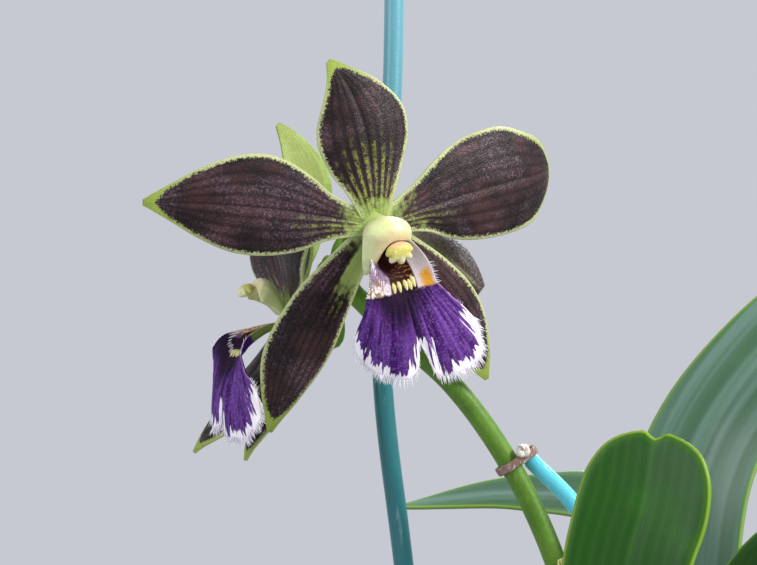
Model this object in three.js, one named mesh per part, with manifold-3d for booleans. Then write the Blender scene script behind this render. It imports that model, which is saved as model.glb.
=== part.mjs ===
// A potted orchid: a clay pot filled with bark, three leafy growths and an old bulb on one rhizome, and
// a flower stem with two open blooms and a bud, tied to a bent wire stake, with a taller stake behind.
// Millimetres, +Z up. The origin is the middle of the pot's underside, and the blooms look towards -Y.
import * as THREE from "three";
import { mergeVertices } from "three/addons/utils/BufferGeometryUtils.js";
import Module from "manifold-3d";

const wasm = await Module();
wasm.setup();

// Driving dimensions
const GAP = 0.35; // between pieces that touch
const POT_HEIGHT = 108;
const POT_FOOT_RADIUS = 43;
const POT_MOUTH_RADIUS = 62;
const POT_RIM_HEIGHT = 20;
const POT_WALL = 5;
const POT_FLOOR = 7;
const DRAIN_RADIUS = 5;
const BARK_LEVEL = 94; // top of the bark's body, with the chips standing out of it
const STEM_RADIUS_LOW = 2.5;
const STEM_RADIUS_HIGH = 1.75;
const TALL_STAKE_RADIUS = 1.8;
const SHORT_STAKE_RADIUS = 1.5;
const LEAF_THICKNESS = 1.3;
const PETAL_THICKNESS = 0.8;
const FULL_TURN = 2 * Math.PI;

// Where the plant's pieces stand, from the pot's axis
const FRONT_BULB = { x: 7, y: -17, height: 58, width: 14, depth: 10, turn: 0.15, lean: v3(-3, 1, 0) };
const LEFT_BULB = { x: -24, y: 19, height: 52, width: 13, depth: 9.5, turn: -0.5, lean: v3(-5, 3, 0) };
const RIGHT_BULB = { x: 27, y: 17, height: 50, width: 12.5, depth: 9, turn: 0.6, lean: v3(5, 2, 0) };
const OLD_BULB = { x: 1, y: 31, height: 40, width: 11.5, depth: 8.5, turn: 0.2, lean: v3(2, 6, 0) };
const BULB_FOOT = 86; // height at which every bulb starts, down in the bark

function v3(x, y, z) {
  return new THREE.Vector3(x, y, z);
}

function radians(degrees) {
  return (degrees * Math.PI) / 180;
}

// A repeatable random draw from 0 to 1.
function randomFrom(seed) {
  let state = seed;
  return () => {
    state = (state * 1664525 + 1013904223) % 4294967296;
    return state / 4294967296;
  };
}

// A smooth function through [place, value] pairs.
function through(pairs) {
  const slope = (i) => {
    const before = pairs[Math.max(0, i - 1)];
    const after = pairs[Math.min(pairs.length - 1, i + 1)];
    return (after[1] - before[1]) / (after[0] - before[0]);
  };
  return (place) => {
    let i = 0;
    while (i < pairs.length - 2 && place > pairs[i + 1][0]) i += 1;
    const [x0, y0] = pairs[i];
    const [x1, y1] = pairs[i + 1];
    const span = x1 - x0;
    const t = THREE.MathUtils.clamp((place - x0) / span, 0, 1);
    const rise = (t - 1) * (t - 1);
    return (
      y0 * (1 + 2 * t) * rise +
      y1 * t * t * (3 - 2 * t) +
      span * (slope(i) * t * rise + slope(i + 1) * t * t * (t - 1))
    );
  };
}

// Meshes and solids

// A closed geometry from points and triangles, turned so that its faces point out.
function closed(points, triangles) {
  let volume = 0;
  for (const [a, b, c] of triangles) {
    volume += points[a].dot(points[b].clone().cross(points[c]));
  }
  const index = triangles.flatMap(([a, b, c]) => (volume < 0 ? [a, c, b] : [a, b, c]));
  const geometry = new THREE.BufferGeometry();
  const places = points.flatMap((p) => [p.x, p.y, p.z]);
  geometry.setAttribute("position", new THREE.Float32BufferAttribute(places, 3));
  geometry.setIndex(index);
  return geometry;
}

// Rings of points joined into a skin, with a fan over each end.
function loft(rings) {
  const sides = rings[0].length;
  const points = rings.flat();
  const triangles = [];
  for (let r = 0; r < rings.length - 1; r += 1) {
    for (let i = 0; i < sides; i += 1) {
      const j = (i + 1) % sides;
      const [a, b, c, d] = [r * sides + i, r * sides + j, (r + 1) * sides + j, (r + 1) * sides + i];
      triangles.push([a, b, c], [a, c, d]);
    }
  }
  for (const [ring, outward] of [
    [0, false],
    [rings.length - 1, true],
  ]) {
    const middle = new THREE.Vector3();
    for (const p of rings[ring]) middle.addScaledVector(p, 1 / sides);
    points.push(middle);
    for (let i = 0; i < sides; i += 1) {
      const [a, b] = [ring * sides + i, ring * sides + ((i + 1) % sides)];
      triangles.push(outward ? [a, b, points.length - 1] : [b, a, points.length - 1]);
    }
  }
  return closed(points, triangles);
}

// A round rod along a curve, with its radius given by the share of the way along.
function rod(curve, radiusAt, sides, steps) {
  const frames = curve.computeFrenetFrames(steps);
  const rings = [];
  for (let k = 0; k <= steps; k += 1) {
    const middle = curve.getPointAt(k / steps);
    const radius = radiusAt(k / steps);
    const ring = [];
    for (let i = 0; i < sides; i += 1) {
      const angle = (i / sides) * FULL_TURN;
      ring.push(
        middle
          .clone()
          .addScaledVector(frames.normals[k], radius * Math.cos(angle))
          .addScaledVector(frames.binormals[k], radius * Math.sin(angle)),
      );
    }
    rings.push(ring);
  }
  return loft(rings);
}

// A curved sheet of even thickness. surface(t, s) gives its middle, for t from 0 to 1 along it and s
// from -1 to 1 across it. Both faces are split into triangles alike.
function sheet(surface, rows, columns, thickness) {
  const step = 1e-3;
  const faces = [[], []];
  for (let i = 0; i <= rows; i += 1) {
    for (let j = 0; j <= columns; j += 1) {
      const t = i / rows;
      const s = -1 + (2 * j) / columns;
      const [t0, t1] = [Math.max(0, t - step), Math.min(1, t + step)];
      const [s0, s1] = [Math.max(-1, s - step), Math.min(1, s + step)];
      const along = surface(t1, s).sub(surface(t0, s));
      const across = surface(t, s1).sub(surface(t, s0));
      const normal = across.cross(along).normalize();
      const middle = surface(t, s);
      faces[0].push(middle.clone().addScaledVector(normal, thickness / 2));
      faces[1].push(middle.clone().addScaledVector(normal, -thickness / 2));
    }
  }
  const width = columns + 1;
  const under = faces[0].length;
  const triangles = [];
  for (let i = 0; i < rows; i += 1) {
    for (let j = 0; j < columns; j += 1) {
      const [a, b, c, d] = [i * width + j, i * width + j + 1, (i + 1) * width + j + 1, (i + 1) * width + j];
      triangles.push([a, b, c], [a, c, d]);
      triangles.push([a + under, c + under, b + under], [a + under, d + under, c + under]);
    }
  }
  const edge = [];
  for (let j = 0; j < columns; j += 1) edge.push(j);
  for (let i = 0; i < rows; i += 1) edge.push(i * width + columns);
  for (let j = columns; j > 0; j -= 1) edge.push(rows * width + j);
  for (let i = rows; i > 0; i -= 1) edge.push(i * width);
  edge.forEach((a, k) => {
    const b = edge[(k + 1) % edge.length];
    triangles.push([a, a + under, b + under], [a, b + under, b]);
  });
  return closed([...faces[0], ...faces[1]], triangles);
}

// A closed geometry as a solid that can be joined and cut.
function solid(geometry) {
  const bare = new THREE.BufferGeometry();
  bare.setAttribute("position", geometry.getAttribute("position"));
  bare.setIndex(geometry.index);
  const merged = mergeVertices(bare, 1e-4);
  return new wasm.Manifold(
    new wasm.Mesh({
      numProp: 3,
      vertProperties: new Float32Array(merged.getAttribute("position").array),
      triVerts: new Uint32Array(merged.index.array),
    }),
  );
}

function join(geometries) {
  return geometries.map(solid).reduce((sum, next) => sum.add(next));
}

// A solid that is one body, as a geometry.
function geometryOf(made) {
  if (made.decompose().length !== 1) throw new Error("the solid is in more than one body");
  const mesh = made.getMesh();
  const geometry = new THREE.BufferGeometry();
  geometry.setAttribute("position", new THREE.BufferAttribute(mesh.vertProperties, 3));
  geometry.setIndex(new THREE.BufferAttribute(mesh.triVerts, 1));
  return geometry;
}

const plant = new THREE.Group();

function node(name, geometry, color, roughness) {
  const mesh = new THREE.Mesh(geometry, new THREE.MeshStandardMaterial({ color, roughness, metalness: 0 }));
  mesh.name = name;
  plant.add(mesh);
}

// Pot: a plain thrown clay pot with a straight rim band and three drain holes round its middle.
function potGeometry() {
  const side = (z) => THREE.MathUtils.lerp(POT_FOOT_RADIUS, POT_MOUTH_RADIUS - 4, z / POT_HEIGHT);
  const shoulder = POT_HEIGHT - POT_RIM_HEIGHT;
  const profile = [
    [0, 0],
    [POT_FOOT_RADIUS - 1.5, 0],
    [POT_FOOT_RADIUS, 1.5],
    [side(shoulder), shoulder],
    [POT_MOUTH_RADIUS - 1.5, shoulder + 1],
    [POT_MOUTH_RADIUS, POT_HEIGHT - 2],
    [POT_MOUTH_RADIUS - 2, POT_HEIGHT],
    [POT_MOUTH_RADIUS - POT_WALL, POT_HEIGHT],
    [POT_MOUTH_RADIUS - POT_WALL - 2, POT_HEIGHT - 2],
    [side(shoulder) - POT_WALL, shoulder],
    [side(POT_FLOOR) - POT_WALL, POT_FLOOR],
    [0, POT_FLOOR],
  ];
  const turned = new THREE.LatheGeometry(
    profile.map(([r, z]) => new THREE.Vector2(r, z)),
    36,
  ).rotateX(Math.PI / 2);
  turned.deleteAttribute("normal");
  turned.deleteAttribute("uv");
  let made = solid(mergeVertices(turned, 1e-3));
  if (made.volume() < 0) throw new Error("the pot's profile runs the wrong way");
  for (let k = 0; k < 3; k += 1) {
    const angle = (k / 3 + 0.25) * FULL_TURN;
    const drill = new THREE.CylinderGeometry(DRAIN_RADIUS, DRAIN_RADIUS, 30, 12).rotateX(Math.PI / 2);
    drill.translate(22 * Math.cos(angle), 22 * Math.sin(angle), 0);
    drill.deleteAttribute("normal");
    drill.deleteAttribute("uv");
    made = made.subtract(solid(mergeVertices(drill, 1e-3)));
  }
  return geometryOf(made);
}

// Bulbs: ribbed, a little flattened eggs that lean, with the leaves growing out of their tops.
function bulbPoint(bulb, share, angle, extra) {
  const girth = Math.sin(Math.PI * (0.16 + 0.77 * share)) ** 0.8;
  const rib = 1 + 0.035 * Math.cos(7 * angle);
  const x = (bulb.width * girth * rib + extra) * Math.cos(angle);
  const y = (bulb.depth * girth * rib + extra) * Math.sin(angle);
  const [c, s] = [Math.cos(bulb.turn), Math.sin(bulb.turn)];
  const z = BULB_FOOT - extra + (bulb.height + 2 * extra) * share;
  return v3(bulb.x + c * x - s * y, bulb.y + s * x + c * y, z).addScaledVector(bulb.lean, share * share);
}

function bulbGeometry(bulb, extra) {
  const [rings, sides] = [8, 14];
  return loft(
    Array.from({ length: rings }, (_, k) =>
      Array.from({ length: sides }, (_, i) =>
        bulbPoint(bulb, k / (rings - 1), (i / sides) * FULL_TURN, extra),
      ),
    ),
  );
}

function bulbTop(bulb) {
  return v3(bulb.x, bulb.y, BULB_FOOT + bulb.height - 4).add(bulb.lean);
}

// Leaves: straps along a midrib, folded in a channel at the foot and opening flat towards the tip.
const ROUND_STRAP = [
  [0, 0.3],
  [0.12, 0.42],
  [0.35, 0.72],
  [0.6, 0.8],
  [0.887, 0.88],
  [0.926, 0.94],
  [0.954, 0.9],
  [0.973, 0.79],
  [0.983, 0.69],
  [0.99, 0.57],
  [0.996, 0.4],
  [1, 0.2],
];
const POINTED_STRAP = [
  [0, 0.3],
  [0.12, 0.42],
  [0.35, 0.88],
  [0.55, 1],
  [0.78, 0.76],
  [0.92, 0.38],
  [1, 0.04],
];

function leafSurface({ path, faceLow, faceHigh, halfWidth, outline = POINTED_STRAP, notch = 0, fold = 1 }) {
  const curve = new THREE.CatmullRomCurve3(path, false, "centripetal");
  const width = through(outline);
  const length = curve.getLength();
  return (t, s) => {
    // A notched tip stops short at the midrib.
    const place = t * (1 - (notch / length) * Math.exp(-((s / 0.7) ** 2)) * t ** 8);
    const tangent = curve.getTangentAt(place);
    const face = faceLow.clone().lerp(faceHigh, place);
    const across = tangent.clone().cross(face).normalize();
    const up = across.clone().cross(tangent);
    const reach = Math.max(0.4, halfWidth * width(place)) * Math.abs(s);
    const curvature = (fold * THREE.MathUtils.lerp(1.3, 0.25, Math.min(1, place / 0.7))) / halfWidth;
    return curve
      .getPointAt(place)
      .addScaledVector(across, (Math.sign(s) * Math.sin(curvature * reach)) / curvature)
      .addScaledVector(up, (1 - Math.cos(curvature * reach)) / curvature);
  };
}

function leafGeometry(leaf) {
  const surface = leafSurface(leaf);
  // A blunt tip takes more rows near it.
  const [rows, crowding] = leaf.notch ? [14, 1.8] : [10, 1.35];
  const crowded = (t) => 1 - (1 - t) ** crowding;
  return sheet((t, s) => surface(crowded(t), s), rows, 6, LEAF_THICKNESS);
}

const FRONT_LEAVES = [
  {
    path: [bulbTop(FRONT_BULB), v3(-3, -26, 190), v3(-8, -32, 245), v3(-5, -33, 285), v3(-2, -32.5, 296), v3(0, -31, 307)],
    faceLow: v3(0.1, -1, 0.1),
    faceHigh: v3(-0.45, -1, 0),
    halfWidth: 12,
    outline: ROUND_STRAP,
    notch: 1.1,
    fold: 0.8,
  },
  {
    path: [
      bulbTop(FRONT_BULB),
      v3(7, 2, 190),
      v3(7, 10, 250),
      v3(11.4, 13, 297),
      v3(24.5, 16, 318),
      v3(43, 20, 333),
      v3(64, 26, 338),
      v3(85, 32, 328),
    ],
    faceLow: v3(0.1, -1, 0.1),
    faceHigh: v3(-0.5, -1, 0.6),
    halfWidth: 11.4,
    fold: 0.7,
  },
];
const LEFT_LEAVES = [
  {
    path: [bulbTop(LEFT_BULB), v3(-14, 36, 205), v3(2, 54, 262), v3(2, 64, 286), v3(-17, 70, 289), v3(-42, 73, 286)],
    faceLow: v3(0.3, -1, 0),
    faceHigh: v3(0, -0.7, 1),
    halfWidth: 9.5,
  },
  {
    path: [bulbTop(LEFT_BULB), v3(-42, 21, 180), v3(-62, 22, 216), v3(-88, 24, 228), v3(-113, 26, 208)],
    faceLow: v3(1, -0.3, 0.2),
    faceHigh: v3(0.4, -0.1, 1),
    halfWidth: 12.5,
  },
];
const RIGHT_LEAVES = [
  {
    path: [
      bulbTop(RIGHT_BULB),
      v3(30, -6, 198),
      v3(17.5, -15, 246),
      v3(18.2, -18, 277),
      v3(30, -20, 290),
      v3(53, -24, 296),
      v3(76, -28, 288),
    ],
    faceLow: v3(-0.9, -0.5, 0),
    faceHigh: v3(-0.2, -0.4, 1),
    halfWidth: 12,
  },
  {
    path: [bulbTop(RIGHT_BULB), v3(44, 30, 178), v3(62, 42, 214), v3(86, 54, 224), v3(108, 64, 202)],
    faceLow: v3(-1, -0.4, 0.2),
    faceHigh: v3(-0.3, -0.2, 1),
    halfWidth: 12.5,
  },
];
// A short leaf rises from a sheath at the foot of the front bulb.
const FOOT_LEAF = {
  path: [v3(12, -24, 90), v3(24, -33, 118), v3(35, -45, 152), v3(52, -60, 174), v3(73, -74, 170)],
  faceLow: v3(-0.8, 0.7, 0.3),
  faceHigh: v3(-0.3, 0.3, 1),
  halfWidth: 10.5,
};

function growthGeometry(bulb, leaves) {
  return geometryOf(join([bulbGeometry(bulb, 0), ...leaves.map(leafGeometry)]));
}

// Rhizome and roots: a short thick runner under the bulbs, with bare roots creeping over the bark.
const ROOT_PATHS = [
  [v3(-2, 4, 86), v3(-9, 1.2, 95), v3(-17, -3, 97.3), v3(-31, -9, 97), v3(-40, -18, 88)],
  [v3(-4, 2, 88), v3(20, -1, 97.5), v3(36, -9, 97), v3(42, -17, 88)],
  [v3(2, 20, 88), v3(10, 40, 96.5), v3(24, 41, 96), v3(33, 32, 88)],
];
const RHIZOME_PATH = [v3(2, 27, 84), v3(1, 14, 83), v3(-1, 2, 83), v3(2, -6, 83)];

function rootGeometries(extra) {
  const runner = rod(new THREE.CatmullRomCurve3(RHIZOME_PATH), () => 4.5 + extra, 8, 4);
  const roots = ROOT_PATHS.map((path) =>
    rod(new THREE.CatmullRomCurve3(path), (t) => 2.3 - 0.5 * t + extra, 6, 9),
  );
  return [runner, ...roots];
}

// Flower stem: an arching round stem with thin bracts at its joints and a stalk to each flower.
const STEM_PATH = [
  v3(-17, -9, 76),
  v3(-16.5, -9, 98),
  v3(-13.5, -8, 135),
  v3(-9.5, -6, 185),
  v3(-7.5, -3, 230),
  v3(-9.5, -1, 262),
  v3(-14.35, 0, 281.7),
  v3(-22.1, 0, 298.6),
  v3(-32.7, -2, 313.6),
  v3(-43.7, -3, 323.4),
  v3(-50, -2, 329.6),
  v3(-55.5, 1, 334.6),
];
const stemCurve = new THREE.CatmullRomCurve3(STEM_PATH, false, "centripetal");
const STEM_STEPS = 32;
const BRACT_PLACES = [0.2, 0.4, 0.58, 0.74];

function stemRadius(t) {
  return THREE.MathUtils.lerp(STEM_RADIUS_LOW, STEM_RADIUS_HIGH, t);
}

// A bract clasps the stem and ends in a point that stands off it.
function bractGeometry(place) {
  const long = 0.045;
  const surface = (t, s) => {
    const here = place + long * t;
    const tangent = stemCurve.getTangentAt(here);
    const side = tangent.clone().cross(v3(0.4, -1, 0)).normalize();
    const front = side.clone().cross(tangent);
    const wrap = s * THREE.MathUtils.lerp(2.2, 0.25, t ** 0.8);
    const off = stemRadius(here) + 0.25 + 1.1 * t * t;
    return stemCurve
      .getPointAt(here)
      .addScaledVector(side, off * Math.sin(wrap))
      .addScaledVector(front, off * Math.cos(wrap));
  };
  return sheet(surface, 3, 4, 0.7);
}

// Blooms: each is placed by its middle, the way it looks, and a roll about that way.
const FRONT_BLOOM = { middle: v3(-46.2, -22, 341), yaw: 20, pitch: -5, roll: 10, lipRoll: 4, lipSize: 1, columnNod: 0 };
const SIDE_BLOOM = { middle: v3(-61.6, 8, 324.5), yaw: -65, pitch: 18, roll: 0, lipRoll: 0, lipSize: 0.88, columnNod: -40 };

// Bloom axes: x to the right of its face, y up, z out of its face.
function bloomMatrix({ middle, yaw, pitch, roll }) {
  const out = v3(
    Math.sin(radians(yaw)) * Math.cos(radians(pitch)),
    -Math.cos(radians(yaw)) * Math.cos(radians(pitch)),
    Math.sin(radians(pitch)),
  );
  const right = v3(Math.cos(radians(yaw)), Math.sin(radians(yaw)), 0);
  const up = out.clone().cross(right);
  right.applyAxisAngle(out, radians(roll));
  up.applyAxisAngle(out, radians(roll));
  return new THREE.Matrix4().makeBasis(right, up, out).setPosition(middle);
}

// Petal outlines: half-widths in millimetres along the midrib, on the counter-clockwise side, then the other.
const DORSAL = {
  heading: 86,
  swing: 40,
  swingPower: 2.4,
  lift: 4,
  curl: -22,
  length: 28.4,
  left: [[0, 2.4], [0.15, 4.5], [0.3, 6.9], [0.47, 8.2], [0.62, 7.6], [0.76, 5.8], [0.88, 3.2], [1, 0.5]],
  right: [[0, 2.4], [0.15, 3.7], [0.3, 5.6], [0.47, 7.7], [0.62, 8], [0.76, 5.5], [0.88, 2.5], [1, 0.5]],
  bow: -0.03,
};
const LEFT_PETAL = {
  heading: 158,
  swing: 16,
  swingPower: 1,
  lift: -6,
  curl: -30,
  length: 38.4,
  left: [[0, 1.8], [0.18, 4.2], [0.28, 6.4], [0.39, 7.7], [0.5, 8.2], [0.62, 7.8], [0.75, 6], [0.88, 3.2], [1, 0.5]],
  right: [[0, 1.8], [0.18, 3.6], [0.28, 6], [0.39, 8], [0.5, 8.7], [0.62, 7.9], [0.75, 5.8], [0.88, 3], [1, 0.5]],
  bow: -0.02,
};
const RIGHT_PETAL = {
  heading: 11,
  swing: -14,
  swingPower: 1,
  lift: -4,
  curl: -70,
  curlPower: 3,
  length: 41,
  left: [[0, 1.8], [0.18, 4.4], [0.28, 6.6], [0.39, 8.4], [0.52, 9.5], [0.66, 9.3], [0.78, 7.5], [0.9, 4.7], [1, 0.5]],
  right: [[0, 1.8], [0.18, 4], [0.28, 6.4], [0.39, 8], [0.52, 8.8], [0.66, 8.9], [0.78, 7.8], [0.9, 4.8], [1, 0.5]],
  bow: -0.02,
};
const LEFT_SEPAL = {
  heading: 224,
  swing: 26,
  swingPower: 1,
  lift: -8,
  curl: -20,
  length: 39,
  left: [[0, 2.2], [0.18, 3.4], [0.35, 4.7], [0.54, 5.6], [0.69, 5.1], [0.84, 3.1], [0.93, 1.5], [1, 0.4]],
  right: [[0, 2.2], [0.18, 3.4], [0.35, 4.8], [0.54, 5.7], [0.69, 5.3], [0.84, 3.3], [0.93, 1.6], [1, 0.4]],
  bow: -0.04,
};
const RIGHT_SEPAL = {
  heading: 313,
  swing: -26,
  swingPower: 1,
  lift: -8,
  curl: -20,
  length: 36.5,
  left: LEFT_SEPAL.right,
  right: LEFT_SEPAL.left,
  bow: -0.04,
};
const FRONT_PETALS = [DORSAL, LEFT_PETAL, RIGHT_PETAL, LEFT_SEPAL, RIGHT_SEPAL];
const SIDE_PETALS = [
  { ...DORSAL, root: 2.2, heading: 90, swing: 0, lift: -2, curl: 58, length: 35, twist: -60 },
  { ...LEFT_PETAL, root: 2.4, heading: 126, swing: 0, lift: 18, curl: 6, length: 32 },
  { ...RIGHT_PETAL, root: 2.4, heading: 48, swing: 14, lift: 40, curl: 34, curlPower: 1.3, length: 33, twist: 30 },
  { ...LEFT_SEPAL, heading: 240, swing: 8, lift: 8, curl: 14, length: 29 },
  { ...RIGHT_SEPAL, heading: 278, swing: -8, lift: 4, curl: 2, length: 25 },
];
const PETAL_ROOT = 1.2; // how far from the middle a midrib starts

// Midrib points and directions of a petal in the bloom's axes, by steps of its length.
function petalMidrib(petal) {
  const steps = 40;
  const rib = [];
  const heading = (t) => radians(petal.heading + petal.swing * t ** petal.swingPower);
  const tilt = (t) => radians(petal.lift + (petal.curl - petal.lift) * t ** (petal.curlPower ?? 1.3));
  const root = petal.root ?? PETAL_ROOT;
  const place = v3(Math.cos(heading(0)), Math.sin(heading(0)), 0).multiplyScalar(root);
  for (let k = 0; k <= steps; k += 1) {
    const t = k / steps;
    const flat = v3(Math.cos(heading(t)), Math.sin(heading(t)), 0);
    const tangent = flat.clone().multiplyScalar(Math.cos(tilt(t)));
    tangent.z = Math.sin(tilt(t));
    const across = v3(-flat.y, flat.x, 0).applyAxisAngle(tangent, radians((petal.twist ?? 0) * t));
    rib.push({ place: place.clone(), across, face: tangent.clone().cross(across) });
    place.addScaledVector(tangent, petal.length / steps);
  }
  return (t) => {
    const i = Math.min(steps - 1, Math.floor(t * steps));
    const share = t * steps - i;
    const [a, b] = [rib[i], rib[i + 1]];
    return {
      place: a.place.clone().lerp(b.place, share),
      across: a.across.clone().lerp(b.across, share).normalize(),
      face: a.face.clone().lerp(b.face, share).normalize(),
    };
  };
}

function petalSurface(petal) {
  const midrib = petalMidrib(petal);
  const [left, right] = [through(petal.left), through(petal.right)];
  return (t, s) => {
    const { place, across, face } = midrib(t);
    const reach = Math.max(0.35, s < 0 ? right(t) : left(t)) * Math.abs(s);
    return place
      .addScaledVector(across, Math.sign(s) * reach)
      .addScaledVector(face, petal.bow * reach * reach + 0.3 * Math.abs(s) * (1 - t));
  };
}

function petalGeometry(petal) {
  const surface = petalSurface(petal);
  const crowded = (t) => 1 - (1 - t) ** 1.25;
  return sheet((t, s) => surface(crowded(t), s), 8, 6, PETAL_THICKNESS);
}

// Column: a hood that arches forward and down over the lip, hollow underneath.
const COLUMN_PATH = [v3(0, 0.4, 1.2), v3(0, 0.6, 4), v3(0, 0.2, 6.8), v3(0, -1.2, 9.3)];
const COLUMN_GIRTH = through([[0, 2.3], [0.35, 3], [0.7, 3.6], [1, 2.8]]);
// How far the wings at its sides hang down, by the share along it.
const LEFT_WING = through([[0, 0.3], [0.3, 1.3], [0.6, 3.3], [0.8, 2.6], [0.93, 1.6], [1, 0.6]]);
const RIGHT_WING = through([[0, 0.3], [0.3, 1], [0.6, 2.4], [0.8, 2.2], [1, 0.5]]);

function columnGeometry() {
  const curve = new THREE.CatmullRomCurve3(COLUMN_PATH);
  const [rings, sides] = [7, 10];
  return loft(
    Array.from({ length: rings }, (_, k) => {
      const t = (k / (rings - 1)) * 0.98;
      const tangent = curve.getTangentAt(t);
      const right = v3(1, 0, 0);
      const up = right.clone().cross(tangent).negate();
      const girth = COLUMN_GIRTH(t) * (k === rings - 1 ? 0.6 : 1);
      return Array.from({ length: sides }, (_, i) => {
        const angle = (i / sides) * FULL_TURN;
        const [c, s] = [Math.cos(angle), Math.sin(angle)];
        const low = s < -1e-9;
        const wing = low ? (Math.abs(c) ** 3 * Math.abs(s) ** 0.7) / 0.41 : 0;
        const hang = (c < 0 ? LEFT_WING(t) : RIGHT_WING(t)) * wing;
        const height = low ? 0.12 * girth * s - hang : 0.8 * girth * s;
        return curve
          .getPointAt(t)
          .addScaledVector(right, girth * c - (c < 0 ? 0.12 * hang : 0))
          .addScaledVector(up, height);
      });
    }),
  );
}

// Anther cap: a small yellow pad under the tip of the hood.
function antherGeometry() {
  const cap = new THREE.SphereGeometry(1, 8, 6);
  cap.scale(2.3, 1.7, 1.2).translate(0, -3.5, 9.3);
  cap.deleteAttribute("normal");
  cap.deleteAttribute("uv");
  return geometryOf(solid(mergeVertices(cap, 1e-3)));
}

// Lip: a channel under the column that opens at its mouth into a fan of two lobes with a cleft between.
const LIP_PATH = [v3(0, -1.3, 1.6), v3(0, -3.6, 4.6), v3(0, -7.1, 7.4), v3(0, -10.4, 9)];
const lipCurve = new THREE.CatmullRomCurve3(LIP_PATH);
const LIP_MOUTH_SHARE = 0.4;
const WALL_LEFT = through([[0, 3], [0.4, 5.2], [0.75, 7.2], [1, 7.3]]);
const WALL_RIGHT = through([[0, 2.8], [0.4, 4.4], [0.75, 5.6], [1, 5.5]]);
// Curvature across the channel in 1/mm.
const CHANNEL_FOLD = through([[0, 0.26], [0.5, 0.2], [0.8, 0.16], [1, 0.11]]);
// Points of the fan's rim, by the share across. The left lobe is turned more towards the camera.
const LIP_RIM = [
  [-1, -9.3, -15.7, 6.2],
  [-0.86, -9.7, -18.7, 6],
  [-0.7, -8.5, -21.2, 6.6],
  [-0.5, -6.7, -23.2, 7.2],
  [-0.3, -4.2, -24.6, 7.6],
  [-0.17, -1.9, -24.8, 7.9],
  [-0.08, -0.3, -23.3, 8.4],
  [0, 0.4, -19.7, 9.2],
  [0.07, 1.7, -23, 8.4],
  [0.14, 2.8, -25.4, 7.8],
  [0.25, 4.5, -26.3, 7.4],
  [0.4, 7.2, -26.2, 7],
  [0.55, 10, -25.8, 6.4],
  [0.68, 11.8, -24.4, 5.8],
  [0.82, 12.5, -21.5, 5.6],
  [0.93, 12, -18.7, 5.8],
  [1, 10, -16.5, 6.4],
];
const rimPlaces = [1, 2, 3].map((k) => through(LIP_RIM.map((row) => [row[0], row[k]])));

// The channel as far as its mouth, and from there a fan that spreads to the rim.
function lipSurface(t, s) {
  const inside = Math.min(1, t / LIP_MOUTH_SHARE);
  const tangent = lipCurve.getTangentAt(inside);
  const across = v3(1, 0, 0);
  const face = across.clone().cross(tangent).negate();
  const fold = CHANNEL_FOLD(inside);
  const reach = (s < 0 ? WALL_LEFT(inside) : WALL_RIGHT(inside)) * s;
  const channel = lipCurve
    .getPointAt(inside)
    .addScaledVector(across, (Math.sin(fold * reach) / fold) * (s < 0 ? 1.18 : 0.95))
    .addScaledVector(face, (1 - Math.cos(fold * reach)) / fold);
  const spread = Math.max(0, (t - LIP_MOUTH_SHARE) / (1 - LIP_MOUTH_SHARE));
  const rim = v3(...rimPlaces.map((place) => place(s)));
  const bulge = 1.3 * Math.sin(Math.PI * spread) * (1 - 0.5 * Math.abs(s));
  const groove = -0.45 * Math.exp(-((s / 0.07) ** 2)) * Math.sqrt(Math.max(0, Math.sin(Math.PI * spread)));
  return channel.lerp(rim, spread).add(v3(0, 0, bulge + groove));
}

// A tooth of the lip's fringe: a thin three-sided spike rooted in the edge.
function toothGeometry(root, way, across, face, length) {
  const base = [
    root.clone().addScaledVector(across, 0.55),
    root.clone().addScaledVector(across, -0.3).addScaledVector(face, 0.3),
    root.clone().addScaledVector(across, -0.3).addScaledVector(face, -0.3),
  ];
  const tip = root.clone().addScaledVector(way, length);
  return closed([...base, tip], [[0, 1, 2], [0, 3, 1], [1, 3, 2], [2, 3, 0]]);
}

function fringeGeometries() {
  const draw = randomFrom(7);
  const teeth = [];
  const place = (t, s, outward) => {
    const point = lipSurface(t, s);
    const way = point.clone().sub(outward).normalize();
    const face = lipSurface(t, s * 0.99).sub(point).cross(way).normalize();
    const across = way.clone().cross(face);
    teeth.push(toothGeometry(point.addScaledVector(way, -0.8), way, across, face, 1.7 + 0.8 * draw()));
  };
  for (let k = 0; k <= 28; k += 1) {
    const s = -1 + (2 * k) / 28;
    if (Math.abs(s) > 0.1) place(1, s, lipSurface(0.8, s * 0.96));
  }
  return teeth;
}

function lipGeometry() {
  return geometryOf(join([sheet(lipSurface, 8, 16, 0.7), ...fringeGeometries()]));
}

// The green ovary ends in a small cup that carries the petals.
function hubGeometry() {
  const hub = new THREE.SphereGeometry(1, 10, 6);
  hub.scale(3.2, 3.2, 1.7).translate(0, 0, -0.7);
  hub.deleteAttribute("normal");
  hub.deleteAttribute("uv");
  return mergeVertices(hub, 1e-3);
}

function bloomNodes(name, bloom, parts) {
  const matrix = bloomMatrix(bloom);
  const size = v3(bloom.lipSize, bloom.lipSize, bloom.lipSize);
  const lipMatrix = matrix.clone().multiply(new THREE.Matrix4().makeRotationZ(radians(bloom.lipRoll)));
  lipMatrix.scale(size);
  const nod = new THREE.Matrix4().makeRotationX(radians(bloom.columnNod));
  nod.setPosition(0, 0, 2.6 * Math.abs(Math.sin(radians(bloom.columnNod))));
  const columnMatrix = lipMatrix.clone().multiply(nod);
  const petals = join([hubGeometry(), ...parts.map(petalGeometry)]);
  node(`${name}_petals`, geometryOf(petals).applyMatrix4(matrix), "#3b2226", 0.5);
  node(`${name}_lip`, lipGeometry().applyMatrix4(lipMatrix), "#4b1a78", 0.5);
  node(`${name}_column`, geometryOf(solid(columnGeometry())).applyMatrix4(columnMatrix), "#e9e6bd", 0.45);
  node(`${name}_anther`, antherGeometry().applyMatrix4(columnMatrix), "#dcd65a", 0.45);
}

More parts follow.
